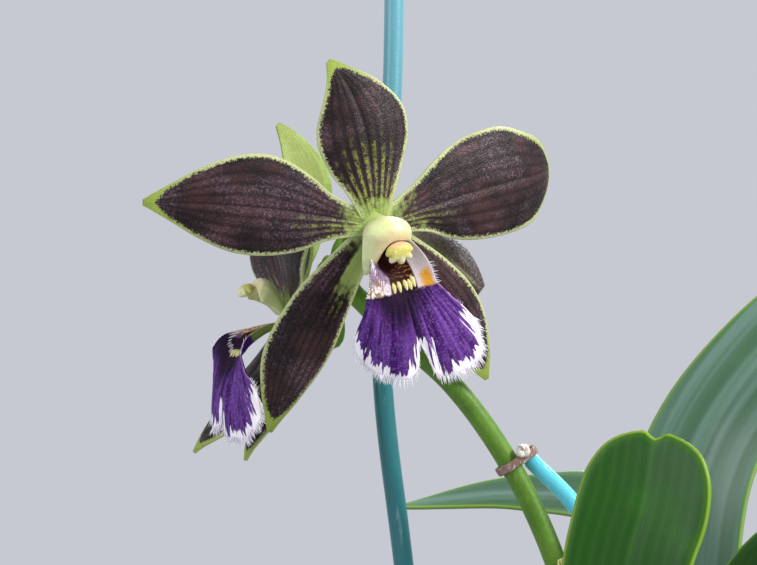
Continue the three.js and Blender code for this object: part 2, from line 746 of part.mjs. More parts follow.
// Flower stalks, which widen into the ovary behind each bloom.
function stalkGeometry(bloom, middlePoints) {
  const end = v3(0, 0, -2.4 - GAP).applyMatrix4(bloomMatrix(bloom));
  const before = v3(0, -0.4, -9).applyMatrix4(bloomMatrix(bloom));
  const curve = new THREE.CatmullRomCurve3([...middlePoints, before, end]);
  const girth = through([[0, 1.2], [0.4, 1.2], [0.75, 1.7], [1, 1.5]]);
  return rod(curve, girth, 7, 8);
}

// Bud: five closed petals in a slim egg that nods at the end of its stalk.
const BUD = { root: v3(-41.5, 11, 340.5), tip: v3(-27.5, 9, 330), radius: 5 };

function budGeometry() {
  const axis = BUD.tip.clone().sub(BUD.root);
  const side = axis.clone().cross(v3(0, 1, 0)).normalize();
  const front = axis.clone().cross(side).normalize();
  const [rings, sides] = [7, 15];
  return loft(
    Array.from({ length: rings }, (_, k) => {
      const t = k / (rings - 1);
      const girth = BUD.radius * Math.sin(Math.PI * (0.14 + 0.8 * t)) ** 0.8;
      return Array.from({ length: sides }, (_, i) => {
        const angle = (i / sides) * FULL_TURN + 0.4 * t;
        const seam = 1 + 0.06 * Math.cos(5 * angle);
        return BUD.root
          .clone()
          .addScaledVector(axis, t)
          .addScaledVector(side, girth * seam * Math.cos(angle))
          .addScaledVector(front, girth * seam * Math.sin(angle));
      });
    }),
  );
}

function budStalkGeometry() {
  const back = BUD.root.clone().sub(BUD.tip).normalize();
  const end = BUD.root.clone().addScaledVector(back, GAP);
  const before = end.clone().addScaledVector(back, 3);
  const curve = new THREE.CatmullRomCurve3([v3(-53.6, 0, 332.8), v3(-52, 7, 339), before, end]);
  return rod(curve, through([[0, 1.1], [0.7, 1.3], [1, 1.8]]), 7, 6);
}

function stemGeometry() {
  const stalks = [
    stalkGeometry(FRONT_BLOOM, [v3(-48.6, -2.2, 328.2), v3(-51.5, -4.5, 334)]),
    stalkGeometry(SIDE_BLOOM, [v3(-54.6, 0.6, 334), v3(-54.6, 7, 335)]),
    budStalkGeometry(),
  ];
  return geometryOf(join([rod(stemCurve, stemRadius, 9, STEM_STEPS), ...BRACT_PLACES.map(bractGeometry), ...stalks]));
}

// Wire stakes with a plastic coat. The short one is bent over to meet the flower stem at the tie.
const TALL_STAKE = [
  v3(-17.5, 3, 40),
  v3(-17.6, 3, 96),
  v3(-30.4, 8, 190),
  v3(-41.2, 12, 280.6),
  v3(-45, 13.4, 314),
  v3(-44.9, 17, 344),
  v3(-43.2, 21, 368),
  v3(-42.8, 26, 424),
];
const SHORT_STAKE = [
  v3(-8, -5.5, 40),
  v3(-8, -5.5, 98),
  v3(-3.6, -7, 192),
  v3(-2.8, -8, 250),
  v3(-4.2, -6, 279),
  v3(-10.6, -2, 291.6),
  v3(-19.6, 1.6, 301),
];

function stakeGeometry(path, radius, extra) {
  const curve = new THREE.CatmullRomCurve3(path, false, "centripetal");
  return rod(curve, () => radius + extra, 8, 24);
}

// Twist tie: a flat paper-covered wire round the stem and the stake's end, with its ends twisted together.
const TIE_PLACE = v3(-21.2, 0.7, 299.3);
const TIE_AXIS = v3(-0.53, -0.02, 0.85).normalize();
const TIE_REACH = { along: 4.7, across: 2.9, width: 1.2, thickness: 0.7 };

function tieGeometry() {
  const along = v3(1, 0.35, 0.6).projectOnPlane(TIE_AXIS).normalize();
  const across = TIE_AXIS.clone().cross(along);
  const sides = 14;
  const rings = [-1, 1].map((end) => end * (TIE_REACH.width / 2));
  const loop = (grow, level) =>
    Array.from({ length: sides }, (_, i) => {
      const angle = (i / sides) * FULL_TURN;
      return TIE_PLACE.clone()
        .addScaledVector(along, (TIE_REACH.along + grow) * Math.cos(angle))
        .addScaledVector(across, (TIE_REACH.across + grow) * Math.sin(angle))
        .addScaledVector(TIE_AXIS, level);
    });
  const outer = solid(loft(rings.map((level) => loop(TIE_REACH.thickness, level))));
  const inner = solid(loft(rings.map((level) => loop(0, 2 * level))));
  const start = TIE_PLACE.clone().addScaledVector(along, TIE_REACH.along + 0.3);
  const tail = new THREE.CatmullRomCurve3([
    start,
    start.clone().addScaledVector(along, 1.4).addScaledVector(TIE_AXIS, 0.5),
    start.clone().addScaledVector(along, 2.2).addScaledVector(TIE_AXIS, 1.8),
  ]);
  const twist = rod(tail, (t) => 0.9 + 0.25 * Math.cos(t * 20), 6, 10);
  return geometryOf(outer.subtract(inner).add(solid(twist)));
}

// Bark: a packed body with chips standing out of its top, and plain holes for all that stands in it.
function chipGeometry(draw, x, y, z) {
  const size = 10 + 5 * draw();
  const chip = new THREE.BoxGeometry(size * 1.5, size, size * 0.75);
  const place = chip.getAttribute("position");
  const seen = new Map();
  for (let i = 0; i < place.count; i += 1) {
    const key = [place.getX(i), place.getY(i), place.getZ(i)].map((v) => Math.sign(v)).join();
    if (!seen.has(key)) seen.set(key, [draw(), draw(), draw()].map((v) => (v - 0.5) * size * 0.4));
    const [dx, dy, dz] = seen.get(key);
    place.setXYZ(i, place.getX(i) + dx, place.getY(i) + dy, place.getZ(i) + dz);
  }
  const turn = new THREE.Euler((draw() - 0.5) * 0.8, (draw() - 0.5) * 0.8, draw() * FULL_TURN);
  chip.applyMatrix4(new THREE.Matrix4().makeRotationFromEuler(turn).setPosition(x, y, z));
  chip.deleteAttribute("normal");
  chip.deleteAttribute("uv");
  return mergeVertices(chip, 1e-3);
}

function barkGeometry() {
  const wall = (z) =>
    THREE.MathUtils.lerp(POT_FOOT_RADIUS, POT_MOUTH_RADIUS - 4, z / POT_HEIGHT) - POT_WALL - GAP;
  const low = POT_FLOOR + GAP;
  const turned = (profile) => {
    const points = profile.map(([r, z]) => new THREE.Vector2(r, z));
    const geometry = new THREE.LatheGeometry(points, 36).rotateX(Math.PI / 2);
    geometry.deleteAttribute("normal");
    geometry.deleteAttribute("uv");
    return mergeVertices(geometry, 1e-3);
  };
  const top = BARK_LEVEL - 2;
  const body = turned([[0, low], [wall(low), low], [wall(88), top], [wall(88) - 3, BARK_LEVEL], [0, BARK_LEVEL]]);
  const room = turned([[0, low], [wall(low), low], [wall(88) - 0.2, 88], [wall(88) - 0.2, 120], [0, 120]]);
  const draw = randomFrom(21);
  const chips = [];
  const count = 33;
  for (let k = 0; k < count; k += 1) {
    // A sunflower spiral spreads the chips evenly.
    const radius = 46 * Math.sqrt((k + 0.5) / count);
    const angle = k * 2.39996 + 0.4 * draw();
    chips.push(
      chipGeometry(draw, radius * Math.cos(angle), radius * Math.sin(angle), BARK_LEVEL + 1.6 * draw()),
    );
  }
  const holes = [
    ...[FRONT_BULB, LEFT_BULB, RIGHT_BULB, OLD_BULB].map((bulb) => bulbGeometry(bulb, GAP)),
    ...rootGeometries(GAP),
    leafHole(FOOT_LEAF),
    rod(stemCurve, (t) => stemRadius(t) + GAP + 0.05, 9, STEM_STEPS),
    stakeGeometry(TALL_STAKE, TALL_STAKE_RADIUS, GAP + 0.05),
    stakeGeometry(SHORT_STAKE, SHORT_STAKE_RADIUS, GAP + 0.05),
  ];
  const bed = join([body, ...chips]).intersect(solid(room)).subtract(join(holes));
  // Crumbs that the holes leave loose are dropped.
  return geometryOf(bed.decompose().reduce((a, b) => (a.volume() > b.volume() ? a : b)));
}

// The room that a leaf's foot needs in the bark.
function leafHole(leaf) {
  const surface = leafSurface({ ...leaf, halfWidth: leaf.halfWidth * 1.08 });
  return sheet((t, s) => surface(t * 0.3, s), 5, 6, LEAF_THICKNESS + 2 * GAP);
}

node("pot", potGeometry(), "#b0603c", 0.9);
node("bark", barkGeometry(), "#5b3a26", 0.95);
node("growth_front", growthGeometry(FRONT_BULB, [...FRONT_LEAVES, FOOT_LEAF]), "#3f7a1e", 0.4);
node("growth_left", growthGeometry(LEFT_BULB, LEFT_LEAVES), "#3f7a1e", 0.4);
node("growth_right", growthGeometry(RIGHT_BULB, RIGHT_LEAVES), "#3f7a1e", 0.4);
node("old_bulb", geometryOf(join([bulbGeometry(OLD_BULB, 0), ...rootGeometries(0)])), "#7f8f55", 0.6);
node("flower_stem", stemGeometry(), "#6d9f35", 0.45);
bloomNodes("front_bloom", FRONT_BLOOM, FRONT_PETALS);
bloomNodes("side_bloom", SIDE_BLOOM, SIDE_PETALS);
node("bud", budGeometry(), "#4a2c33", 0.5);
node("tall_stake", stakeGeometry(TALL_STAKE, TALL_STAKE_RADIUS, 0), "#3d97a3", 0.4);
node("short_stake", stakeGeometry(SHORT_STAKE, SHORT_STAKE_RADIUS, 0), "#6fd5e4", 0.4);
node("twist_tie", tieGeometry(), "#c9aaa4", 0.6);

export default plant;
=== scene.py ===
"""The looks of a potted orchid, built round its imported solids.

The orchid stands in a clay pot of bark. Its flower stem is tied to a bent wire stake, and carries an open
bloom that faces the camera, another that looks to the left, and a bud behind them. Places are in
millimetres, in the frame of the solids, and each mesh is made in metres.
"""

import math

import bpy
import numpy as np
from mathutils import Matrix, Vector


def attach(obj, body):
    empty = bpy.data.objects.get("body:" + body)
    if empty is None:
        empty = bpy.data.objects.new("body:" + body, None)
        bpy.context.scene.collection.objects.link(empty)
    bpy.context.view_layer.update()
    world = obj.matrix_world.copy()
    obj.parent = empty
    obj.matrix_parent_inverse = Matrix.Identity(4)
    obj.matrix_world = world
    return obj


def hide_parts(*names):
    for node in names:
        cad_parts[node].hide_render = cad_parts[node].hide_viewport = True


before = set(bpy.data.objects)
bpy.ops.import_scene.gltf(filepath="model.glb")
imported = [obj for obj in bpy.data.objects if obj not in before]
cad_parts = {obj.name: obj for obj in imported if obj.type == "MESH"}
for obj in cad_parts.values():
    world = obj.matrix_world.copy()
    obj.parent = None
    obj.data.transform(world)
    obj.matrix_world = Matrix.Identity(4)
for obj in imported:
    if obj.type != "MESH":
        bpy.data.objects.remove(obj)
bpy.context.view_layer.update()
MM = 0.001

# The camera looks level along +Y at the front bloom, from where the photograph was taken. The focal
# length is in pixels of the photograph's width.
PHOTO_WIDTH = 757
FOCAL_PIXELS = 2700
SENSOR = 36

lens = bpy.data.cameras.new("camera")
lens.sensor_width = SENSOR
lens.lens = SENSOR * FOCAL_PIXELS / PHOTO_WIDTH
lens.clip_start = 10 * MM
camera = bpy.data.objects.new("camera", lens)
camera.location = Vector((-45.75, -475, 331.6)) * MM
camera.rotation_euler = (math.radians(90), 0, 0)
bpy.context.scene.collection.objects.link(camera)
bpy.context.scene.camera = camera

# Pot: a plain thrown pot of fired clay with a straight rim band and three drain holes. The clay is
# grainy, keeps faint rings from the wheel, and has lime bloom and a damp foot from watering.
POT_HEIGHT = 108
POT_FOOT_RADIUS = 43
POT_MOUTH_RADIUS = 62
POT_RIM_HEIGHT = 20
POT_WALL = 5
POT_FLOOR = 7
DRAIN_RADIUS = 5
DRAIN_REACH = 22


def colour(code):
    """A colour from its usual six-digit code, as Blender's linear colour."""
    parts = [int(code[i : i + 2], 16) / 255 for i in (1, 3, 5)]
    return tuple(p / 12.92 if p < 0.04045 else ((p + 0.055) / 1.055) ** 2.4 for p in parts) + (1,)


class Field:
    """A value in a node tree. Arithmetic on it makes the nodes that work it out."""

    def __init__(self, tree, socket):
        self.tree = tree
        self.socket = socket

    def __add__(self, other):
        return calc("ADD", self, other)

    def __sub__(self, other):
        return calc("SUBTRACT", self, other)

    def __rsub__(self, other):
        return calc("SUBTRACT", other, self)

    def __mul__(self, other):
        return calc("MULTIPLY", self, other)

    def __truediv__(self, other):
        return calc("DIVIDE", self, other)

    def __abs__(self):
        return calc("ABSOLUTE", self)

    __radd__ = __add__
    __rmul__ = __mul__


def feed(made, name, value):
    """Gives an input of a node a plain value, a six-digit colour or a field."""
    if isinstance(value, Field):
        value.tree.links.new(value.socket, made.inputs[name])
    elif str(value).startswith("#"):
        made.inputs[name].default_value = colour(value)
    else:
        made.inputs[name].default_value = value


def node(tree, kind, inputs=None, output=0, **settings):
    """A new node in a tree. Gives one of its outputs as a field, or the node itself for output None."""
    made = tree.nodes.new(kind)
    for name, value in settings.items():
        setattr(made, name, value)
    for name, value in (inputs or {}).items():
        feed(made, name, value)
    return made if output is None else Field(tree, made.outputs[output])


def calc(operation, *values):
    tree = next(value.tree for value in values if isinstance(value, Field))
    return node(tree, "ShaderNodeMath", dict(enumerate(values)), operation=operation)


def rise(value, low, high):
    """0 below low, 1 above high, and smooth between them. With low above high it falls."""
    inputs = {0: value, 1: low, 2: high, 3: 0.0, 4: 1.0}
    return node(value.tree, "ShaderNodeMapRange", inputs, interpolation_type="SMOOTHSTEP")


def tint(share, below, above):
    """The colour below, covered by the colour above as far as share says."""
    return node(share.tree, "ShaderNodeMix", {0: share, 6: below, 7: above}, 2, data_type="RGBA")


def noise(place, size, detail=3.0, stretch=(1, 1, 1)):
    """Noise whose patches are about size millimetres across, drawn out by stretch."""
    scale = [1 / s for s in stretch]
    spread = node(place.tree, "ShaderNodeMapping", {"Vector": place, "Scale": scale})
    inputs = {"Vector": spread, "Scale": 1 / (size * MM), "Detail": detail}
    return node(place.tree, "ShaderNodeTexNoise", inputs)


def raised_cells(place, size):
    """Small cells, size millimetres across. Gives a tone of each one's own, and the cell's dome."""
    cells = node(place.tree, "ShaderNodeTexVoronoi", {"Vector": place, "Scale": 1 / (size * MM)}, None)
    tone = node(place.tree, "ShaderNodeSeparateColor", {0: Field(place.tree, cells.outputs["Color"])})
    return tone, 1.0 - Field(place.tree, cells.outputs["Distance"])


def object_place(tree):
    return node(tree, "ShaderNodeTexCoord", output="Object")


def height_of(place):
    return node(place.tree, "ShaderNodeSeparateXYZ", {0: place}, 2)


def measure(tree, name):
    """A number that the mesh carries at each of its points."""
    return node(tree, "ShaderNodeAttribute", output="Fac", attribute_name=name)


def new_material(name, **constants):
    """A material with one Principled shader, and its tree and shader."""
    made = bpy.data.materials.new(name)
    made.use_nodes = True
    shader = made.node_tree.nodes["Principled BSDF"]
    for socket, value in constants.items():
        feed(shader, socket.replace("_", " "), value)
    return made, made.node_tree, shader


def relief(shader, height, depth):
    """Bump on a shader, with height from 0 to 1 standing depth millimetres high."""
    feed(shader, "Normal", node(height.tree, "ShaderNodeBump", {"Height": height, "Distance": depth * MM}))


FLOAT = "NodeSocketFloat"
COLOUR = "NodeSocketColor"
VECTOR = "NodeSocketVector"
INTEGER = "NodeSocketInt"
MATERIAL = "NodeSocketMaterial"
GEOMETRY = "NodeSocketGeometry"


def new_tree(name, kind, inputs, outputs):
    """An empty node group, and its inputs by their names as fields."""
    tree = bpy.data.node_groups.new(name, kind)
    for direction, labels in (("INPUT", inputs), ("OUTPUT", outputs)):
        for label, socket_kind in labels.items():
            tree.interface.new_socket(label, in_out=direction, socket_type=socket_kind)
    given = tree.nodes.new("NodeGroupInput").outputs
    return tree, {label: Field(tree, given[label]) for label in inputs}


def weathered_group():
    """A surface of one colour that wanders towards a second in patches, with a grain on top."""
    inputs = {
        "Place": VECTOR,
        "Colour": COLOUR,
        "Patch Colour": COLOUR,
        "Patch Scale": FLOAT,
        "Patch Share": FLOAT,
        "Grain Scale": FLOAT,
        "Grain": FLOAT,
    }
    outputs = {"Colour": COLOUR, "Grain": FLOAT}
    tree, given = new_tree("weathered", "ShaderNodeTree", inputs, outputs)
    rough = {"Vector": given["Place"], "Scale": given["Patch Scale"], "Detail": 5.0, "Roughness": 0.6}
    patches = node(tree, "ShaderNodeTexNoise", rough)
    share = rise(patches - (0.78 - given["Patch Share"]), 0.0, 0.22)
    mixed = tint(share, given["Colour"], given["Patch Colour"])
    speckle = {"Vector": given["Place"], "Scale": given["Grain Scale"], "Detail": 4.0}
    grain = rise(node(tree, "ShaderNodeTexNoise", speckle), 0.35, 0.65)
    shade = (grain - 0.5) * given["Grain"] + 1.0
    shaded = node(tree, "ShaderNodeVectorMath", {0: mixed, "Scale": shade}, operation="SCALE")
    node(tree, "NodeGroupOutput", {"Colour": shaded, "Grain": grain}, None)
    return tree


WEATHERED = weathered_group()


def weathered(place, main, patch, patch_size, share, grain_size, grain):
    """The weathered group with sizes in millimetres. Gives its colour and its grain."""
    inputs = {
        "Place": place,
        "Colour": main,
        "Patch Colour": patch,
        "Patch Scale": 1 / (patch_size * MM),
        "Patch Share": share,
        "Grain Scale": 1 / (grain_size * MM),
        "Grain": grain,
    }
    group = node(place.tree, "ShaderNodeGroup", inputs, None, node_tree=WEATHERED)
    return Field(place.tree, group.outputs["Colour"]), Field(place.tree, group.outputs["Grain"])


def build(name, points, faces, material, measures=None):
    """An object from points in millimetres, shaded smooth, with any measures kept at its points."""
    mesh = bpy.data.meshes.new(name)
    mesh.from_pydata((np.asarray(points, float) * MM).tolist(), [], faces)
    for label, values in (measures or {}).items():
        attribute = mesh.attributes.new(label, "FLOAT", "POINT")
        attribute.data.foreach_set("value", np.asarray(values, np.float32))
    mesh.shade_smooth()
    mesh.materials.append(material)
    made = bpy.data.objects.new(name, mesh)
    bpy.context.scene.collection.objects.link(made)
    return made


def baked(piece):
    """Replaces a piece's modifiers by the mesh that they make."""
    graph = bpy.context.evaluated_depsgraph_get()
    mesh = bpy.data.meshes.new_from_object(piece.evaluated_get(graph))
    piece.modifiers.clear()
    piece.data = mesh
    return piece


def skin(rings, joined=False):
    """Points and faces of a tube through rings of points, with joined ends or a fan over each end."""
    rings = np.asarray(rings, float)
    count, sides = rings.shape[:2]
    at = np.arange(count * sides).reshape(count, sides)
    after = np.roll(at, -1, axis=0)
    steps = slice(None) if joined else slice(-1)
    corners = (at, np.roll(at, -1, axis=1), np.roll(after, -1, axis=1), after)
    faces = np.stack([corner[steps] for corner in corners], axis=-1).reshape(-1, 4).tolist()
    points = rings.reshape(-1, 3).tolist()
    if not joined:
        for row in (at[0], at[-1][::-1]):
            faces += [[b, a, len(points)] for a, b in zip(row.tolist(), np.roll(row, -1).tolist())]
            points.append(np.mean(rings.reshape(-1, 3)[row], axis=0).tolist())
    return points, faces


def turned(profile, sides):
    """Rings round the Z axis from a profile of (radius, height) pairs."""
    angles = np.linspace(0, 2 * np.pi, sides, endpoint=False)
    rings = [[(r * math.cos(a), r * math.sin(a), z) for a in angles] for r, z in profile]
    return skin(rings)


def arc(middle, radius, start, end, steps=5):
    """Points of a profile on an arc, with angles in degrees."""
    angles = np.radians(np.linspace(start, end, steps))
    return [(middle[0] + radius * math.cos(a), middle[1] + radius * math.sin(a)) for a in angles]


def pot_side(z):
    return POT_FOOT_RADIUS + (POT_MOUTH_RADIUS - 4 - POT_FOOT_RADIUS) * z / POT_HEIGHT


def pot_profile():
    shoulder = POT_HEIGHT - POT_RIM_HEIGHT
    lip = POT_MOUTH_RADIUS
    throat = POT_MOUTH_RADIUS - POT_WALL
    profile = [(0.01, 0), (POT_FOOT_RADIUS - 1.5, 0)]
    profile += arc((POT_FOOT_RADIUS - 1.5, 1.5), 1.5, -90, 0)
    profile += [(pot_side(z), z) for z in np.linspace(6, shoulder - 1, 9)]
    profile += [(pot_side(shoulder), shoulder), (lip - 1.6, shoulder + 0.8)]
    profile += arc((lip - 1.6, shoulder + 1.6), 0.8, -90, 0)
    profile += [(lip - 0.3, shoulder + 6), (lip, shoulder + 12)]
    profile += arc((lip - 2, POT_HEIGHT - 2), 2, 0, 90)
    profile += arc((throat + 1.2, POT_HEIGHT - 1.2), 1.2, 90, 180)
    profile += [(throat - 2, POT_HEIGHT - 3.5), (pot_side(shoulder) - POT_WALL, shoulder)]
    profile += [(pot_side(z) - POT_WALL, z) for z in np.linspace(shoulder - 8, POT_FLOOR + 4, 5)]
    profile += [(pot_side(POT_FLOOR) - POT_WALL - 3, POT_FLOOR), (0.01, POT_FLOOR)]
    return profile


def clay_material():
    made, tree, shader = new_material("fired_clay", Roughness=0.85)
    place = object_place(tree)
    height = height_of(place)
    body, grain = weathered(place, "#b56a45", "#9c5334", 28, 0.45, 0.7, 0.28)
    bloom = rise(noise(place, 14, 6.0, (1, 1, 2.2)), 0.53, 0.7)
    low = rise(height, 70 * MM, 8 * MM)
    chalky = tint(bloom * (0.45 * low + 0.12), body, "#d9c4ae")
    damp = 0.5 * rise(height + 0.02 * noise(place, 22), 30 * MM, 8 * MM)
    feed(shader, "Base Color", tint(damp, chalky, "#7a4129"))
    rings = calc("SINE", height * (2 * math.pi / (2.6 * MM)))
    grit = noise(place, 0.45, 2.0)
    worn = 0.12 * rings + 0.6 * grit + 0.4 * grain
    relief(shader, worn, 0.35)
    return made


pot = build("clay_pot", *turned(pot_profile(), 144), clay_material())
for k in range(3):
    turn = 2 * math.pi * (k / 3 + 0.25)
    bore = [(0.01, -9), (DRAIN_RADIUS, -9), (DRAIN_RADIUS, 16), (0.01, 16)]
    points, faces = turned(bore, 32)
    aside = np.array([DRAIN_REACH * math.cos(turn), DRAIN_REACH * math.sin(turn), 0])
    drill = build("drill", np.array(points) + aside, faces, pot.data.materials[0])
    cut = pot.modifiers.new("drain", "BOOLEAN")
    cut.operation = "DIFFERENCE"
    cut.object = drill
    baked(pot)
    bpy.data.objects.remove(drill)
pot.data.set_sharp_from_angle(angle=math.radians(40))
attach(pot, "root")
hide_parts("pot")

# Bark mix: broken pine bark, packed to a little under the pot's mouth. Loose chips of several sizes lie
# on a finer bed, each with its own brown and a little green algae, and the roots and bulbs press in
# among them.
BARK_LEVEL = 94


def growing_tree(name, inputs):
    """An empty Geometry Nodes tree that takes and gives a geometry, and its inputs as fields."""
    return new_tree(name, "GeometryNodeTree", {"Geometry": GEOMETRY, **inputs}, {"Geometry": GEOMETRY})


def close_tree(shape, material):
    """Ends a tree in realized instances with a material."""
    real = node(shape.tree, "GeometryNodeRealizeInstances", {0: shape})
    dressed = node(shape.tree, "GeometryNodeSetMaterial", {0: real, "Material": material})
    node(shape.tree, "NodeGroupOutput", {0: dressed}, None)
    return shape.tree


def grown(name, tree, values, base=None):
    """A piece that a Geometry Nodes tree makes, from a base mesh where it has one, as a plain mesh."""
    made = bpy.data.objects.new(name, base or bpy.data.meshes.new(name))
    bpy.context.scene.collection.objects.link(made)
    modifier = made.modifiers.new("grow", "NODES")
    modifier.node_group = tree
    for label, value in values.items():
        modifier[tree.interface.items_tree[label].identifier] = value
    return baked(made)


def drawn(seed, low=0.0, high=1.0):
    """A random number for each point of a geometry."""
    inputs = {2: low, 3: high, "Seed": seed}
    return node(seed.tree, "FunctionNodeRandomValue", inputs, 1, data_type="FLOAT")


def drawn_vector(seed, low, high):
    inputs = {0: low, 1: high, "Seed": seed}
    return node(seed.tree, "FunctionNodeRandomValue", inputs, data_type="FLOAT_VECTOR")


def vector(x, y=0.0, z=0.0):
    """A vector of one or more fields."""
    return node(x.tree, "ShaderNodeCombineXYZ", {0: x, 1: y, 2: z})


def scaled(direction, size):
    return node(direction.tree, "ShaderNodeVectorMath", {0: direction, "Scale": size}, operation="SCALE")


def chips_tree():
    """Chips on a disc, spread by a sunflower spiral, each turned, sized and broken in its own way."""
    inputs = {
        "Count": INTEGER,
        "Bed Radius": FLOAT,
        "Level": FLOAT,
        "Heap": FLOAT,
        "Chip": FLOAT,
        "Seed": INTEGER,
        "Material": MATERIAL,
    }
    tree, given = growing_tree("bark_chips", inputs)
    golden_turn = 2.39996
    index = node(tree, "GeometryNodeInputIndex")
    second_seed = given["Seed"] + 11
    own = drawn(given["Seed"])
    reach = calc("SQRT", (index + 0.5) / given["Count"]) * given["Bed Radius"]
    turn = golden_turn * index + 0.7 * own
    level = given["Level"] + given["Heap"] * drawn(second_seed)
    spot = vector(reach * calc("COSINE", turn), reach * calc("SINE", turn), level)
    points = node(tree, "GeometryNodePoints", {"Count": given["Count"], "Position": spot})
    size = vector(1.5 * given["Chip"], given["Chip"], 0.55 * given["Chip"])
    block = {"Size": size, "Vertices X": 5, "Vertices Y": 4, "Vertices Z": 3}
    lean = drawn_vector(given["Seed"], (-0.4, -0.4, 0), (0.4, 0.4, 6.283))
    instances = {
        "Points": points,
        "Instance": node(tree, "GeometryNodeMeshCube", block),
        "Rotation": node(tree, "FunctionNodeEulerToRotation", {0: lean}),
        "Scale": drawn_vector(second_seed, (0.55, 0.6, 0.6), (1.1, 1.15, 1.2)),
    }
    placed = node(tree, "GeometryNodeInstanceOnPoints", instances)
    mark = {"Geometry": placed, "Name": "chip", "Value": own}
    marked = node(tree, "GeometryNodeStoreNamedAttribute", mark, data_type="FLOAT", domain="INSTANCE")
    real = node(tree, "GeometryNodeRealizeInstances", {0: marked})
    rough = node(tree, "ShaderNodeTexNoise", {"Scale": 140.0, "Detail": 2.0}, 1)
    centred = node(tree, "ShaderNodeVectorMath", {0: rough, 1: (0.5, 0.5, 0.5)}, operation="SUBTRACT")
    push = scaled(centred, 0.9 * given["Chip"])
    broken = node(tree, "GeometryNodeSetPosition", {"Geometry": real, "Offset": push})
    flat = node(tree, "GeometryNodeSetShadeSmooth", {0: broken, "Shade Smooth": False})
    return close_tree(flat, given["Material"])


def bark_material():
    made, tree, shader = new_material("pine_bark", Roughness=0.9)
    place = object_place(tree)
    own = measure(tree, "chip")
    dark, light = "#4a2c1b", "#8a5a38"
    main = tint(rise(own, 0.1, 0.9), dark, light)
    body, grain = weathered(place, main, "#2c1a11", 4, 0.45, 0.5, 0.5)
    layers = noise(place, 1.1, 3.0, (4, 4, 0.8))
    split = tint(rise(layers, 0.56, 0.66), body, "#a9764b")
    algae = rise(noise(place, 17, 4.0), 0.6, 0.72)
    green = tint(0.55 * algae, split, "#6c7438")
    feed(shader, "Base Color", green)
    height = 0.7 * layers + 0.3 * grain
    relief(shader, height, 0.8)
    return made


BARK = bark_material()
bed_profile = [(0.01, POT_FLOOR + 0.4), (pot_side(POT_FLOOR) - POT_WALL - 3.5, POT_FLOOR + 0.4)]
bed_profile += [(pot_side(z) - POT_WALL - 0.4, z) for z in np.linspace(POT_FLOOR + 4, 88, 6)]
bed_profile += [(pot_side(88) - POT_WALL - 2, BARK_LEVEL - 2.5)]
bed_profile += [(r, BARK_LEVEL - 2) for r in (44, 30, 15, 0.01)]
bark_bed = build("bark_bed", *turned(bed_profile, 96), BARK)
CHIPS_TREE = chips_tree()
chip_layers = [
    ("bark_chips_large", 46, 43, 92.6, 3.0, 11, 4),
    ("bark_chips_middle", 120, 47, 93.2, 2.6, 6, 9),
    ("bark_crumbs", 420, 49.5, 92.4, 2.0, 2.8, 15),
]
bark_pieces = [bark_bed]
for name, count, radius, level, heap, chip, seed in chip_layers:
    values = {
        "Count": count,
        "Bed Radius": radius * MM,
        "Level": level * MM,
        "Heap": heap * MM,
        "Chip": chip * MM,
        "Seed": seed,
        "Material": BARK,
    }
    bark_pieces.append(grown(name, CHIPS_TREE, values))
for piece in bark_pieces:
    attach(piece, "root")
    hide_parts("bark")

# Growths: each is a ribbed green bulb that carries strap leaves, with dry papery sheaths round its
# foot. The leaves are thick and glossy, channelled along the midrib, with fine parallel veins and a
# thin pale margin.
LEAF_THICKNESS = 1.3
BULB_FOOT = 86
FRONT_BULB = {"x": 7, "y": -17, "height": 58, "width": 14, "depth": 10, "turn": 0.15, "lean": (-3, 1, 0)}
LEFT_BULB = {"x": -24, "y": 19, "height": 52, "width": 13, "depth": 9.5, "turn": -0.5, "lean": (-5, 3, 0)}
RIGHT_BULB = {"x": 27, "y": 17, "height": 50, "width": 12.5, "depth": 9, "turn": 0.6, "lean": (5, 2, 0)}
OLD_BULB = {"x": 1, "y": 31, "height": 40, "width": 11.5, "depth": 8.5, "turn": 0.2, "lean": (2, 6, 0)}


def unit(v):
    return v / np.maximum(np.linalg.norm(v, axis=-1, keepdims=True), 1e-9)


def smooth(pairs):
    """A smooth function through (place, value) pairs."""
    x, y = np.array(pairs, float).T
    slope = np.gradient(y, x)
    slope[1:-1] = (y[2:] - y[:-2]) / (x[2:] - x[:-2])

    def at(place):
        held = np.clip(place, x[0], x[-1])
        i = np.clip(np.searchsorted(x, held) - 1, 0, len(x) - 2)
        span = x[i + 1] - x[i]
        t = (held - x[i]) / span
        rest = (1 - t) ** 2
        steady = y[i] * (1 + 2 * t) * rest + y[i + 1] * t * t * (3 - 2 * t)
        return steady + span * (slope[i] * t * rest + slope[i + 1] * t * t * (t - 1))

    return at


def route(points):
    """A smooth route through points. Gives its length, and place and direction by share of the length."""
    p = np.array(points, float)
    p = np.vstack([2 * p[0] - p[1], p, 2 * p[-1] - p[-2]])
    t = np.linspace(0, 1, 60, endpoint=False)[:, None]
    samples = []
    for a, b, c, d in zip(p, p[1:], p[2:], p[3:]):
        ab, bc, cd = (math.sqrt(np.linalg.norm(r - q)) for q, r in ((a, b), (b, c), (c, d)))
        start = bc * ((b - a) / ab - (c - a) / (ab + bc) + (c - b) / bc)
        end = bc * ((c - b) / bc - (d - b) / (bc + cd) + (d - c) / cd)
        bend = 3 * (c - b) - 2 * start - end
        samples.append(b + start * t + bend * t**2 + (2 * (b - c) + start + end) * t**3)
    fine = np.vstack([*samples, p[-2]])
    run = np.concatenate([[0], np.cumsum(np.linalg.norm(np.diff(fine, axis=0), axis=1))])

    def at(share):
        reach = np.asarray(share) * run[-1]
        return np.stack([np.interp(reach, run, fine[:, k]) for k in range(3)], axis=-1)

    def toward(share):
        share = np.asarray(share, float)
        return unit(at(np.minimum(share + 0.004, 1)) - at(np.maximum(share - 0.004, 0)))

    return run[-1], at, toward


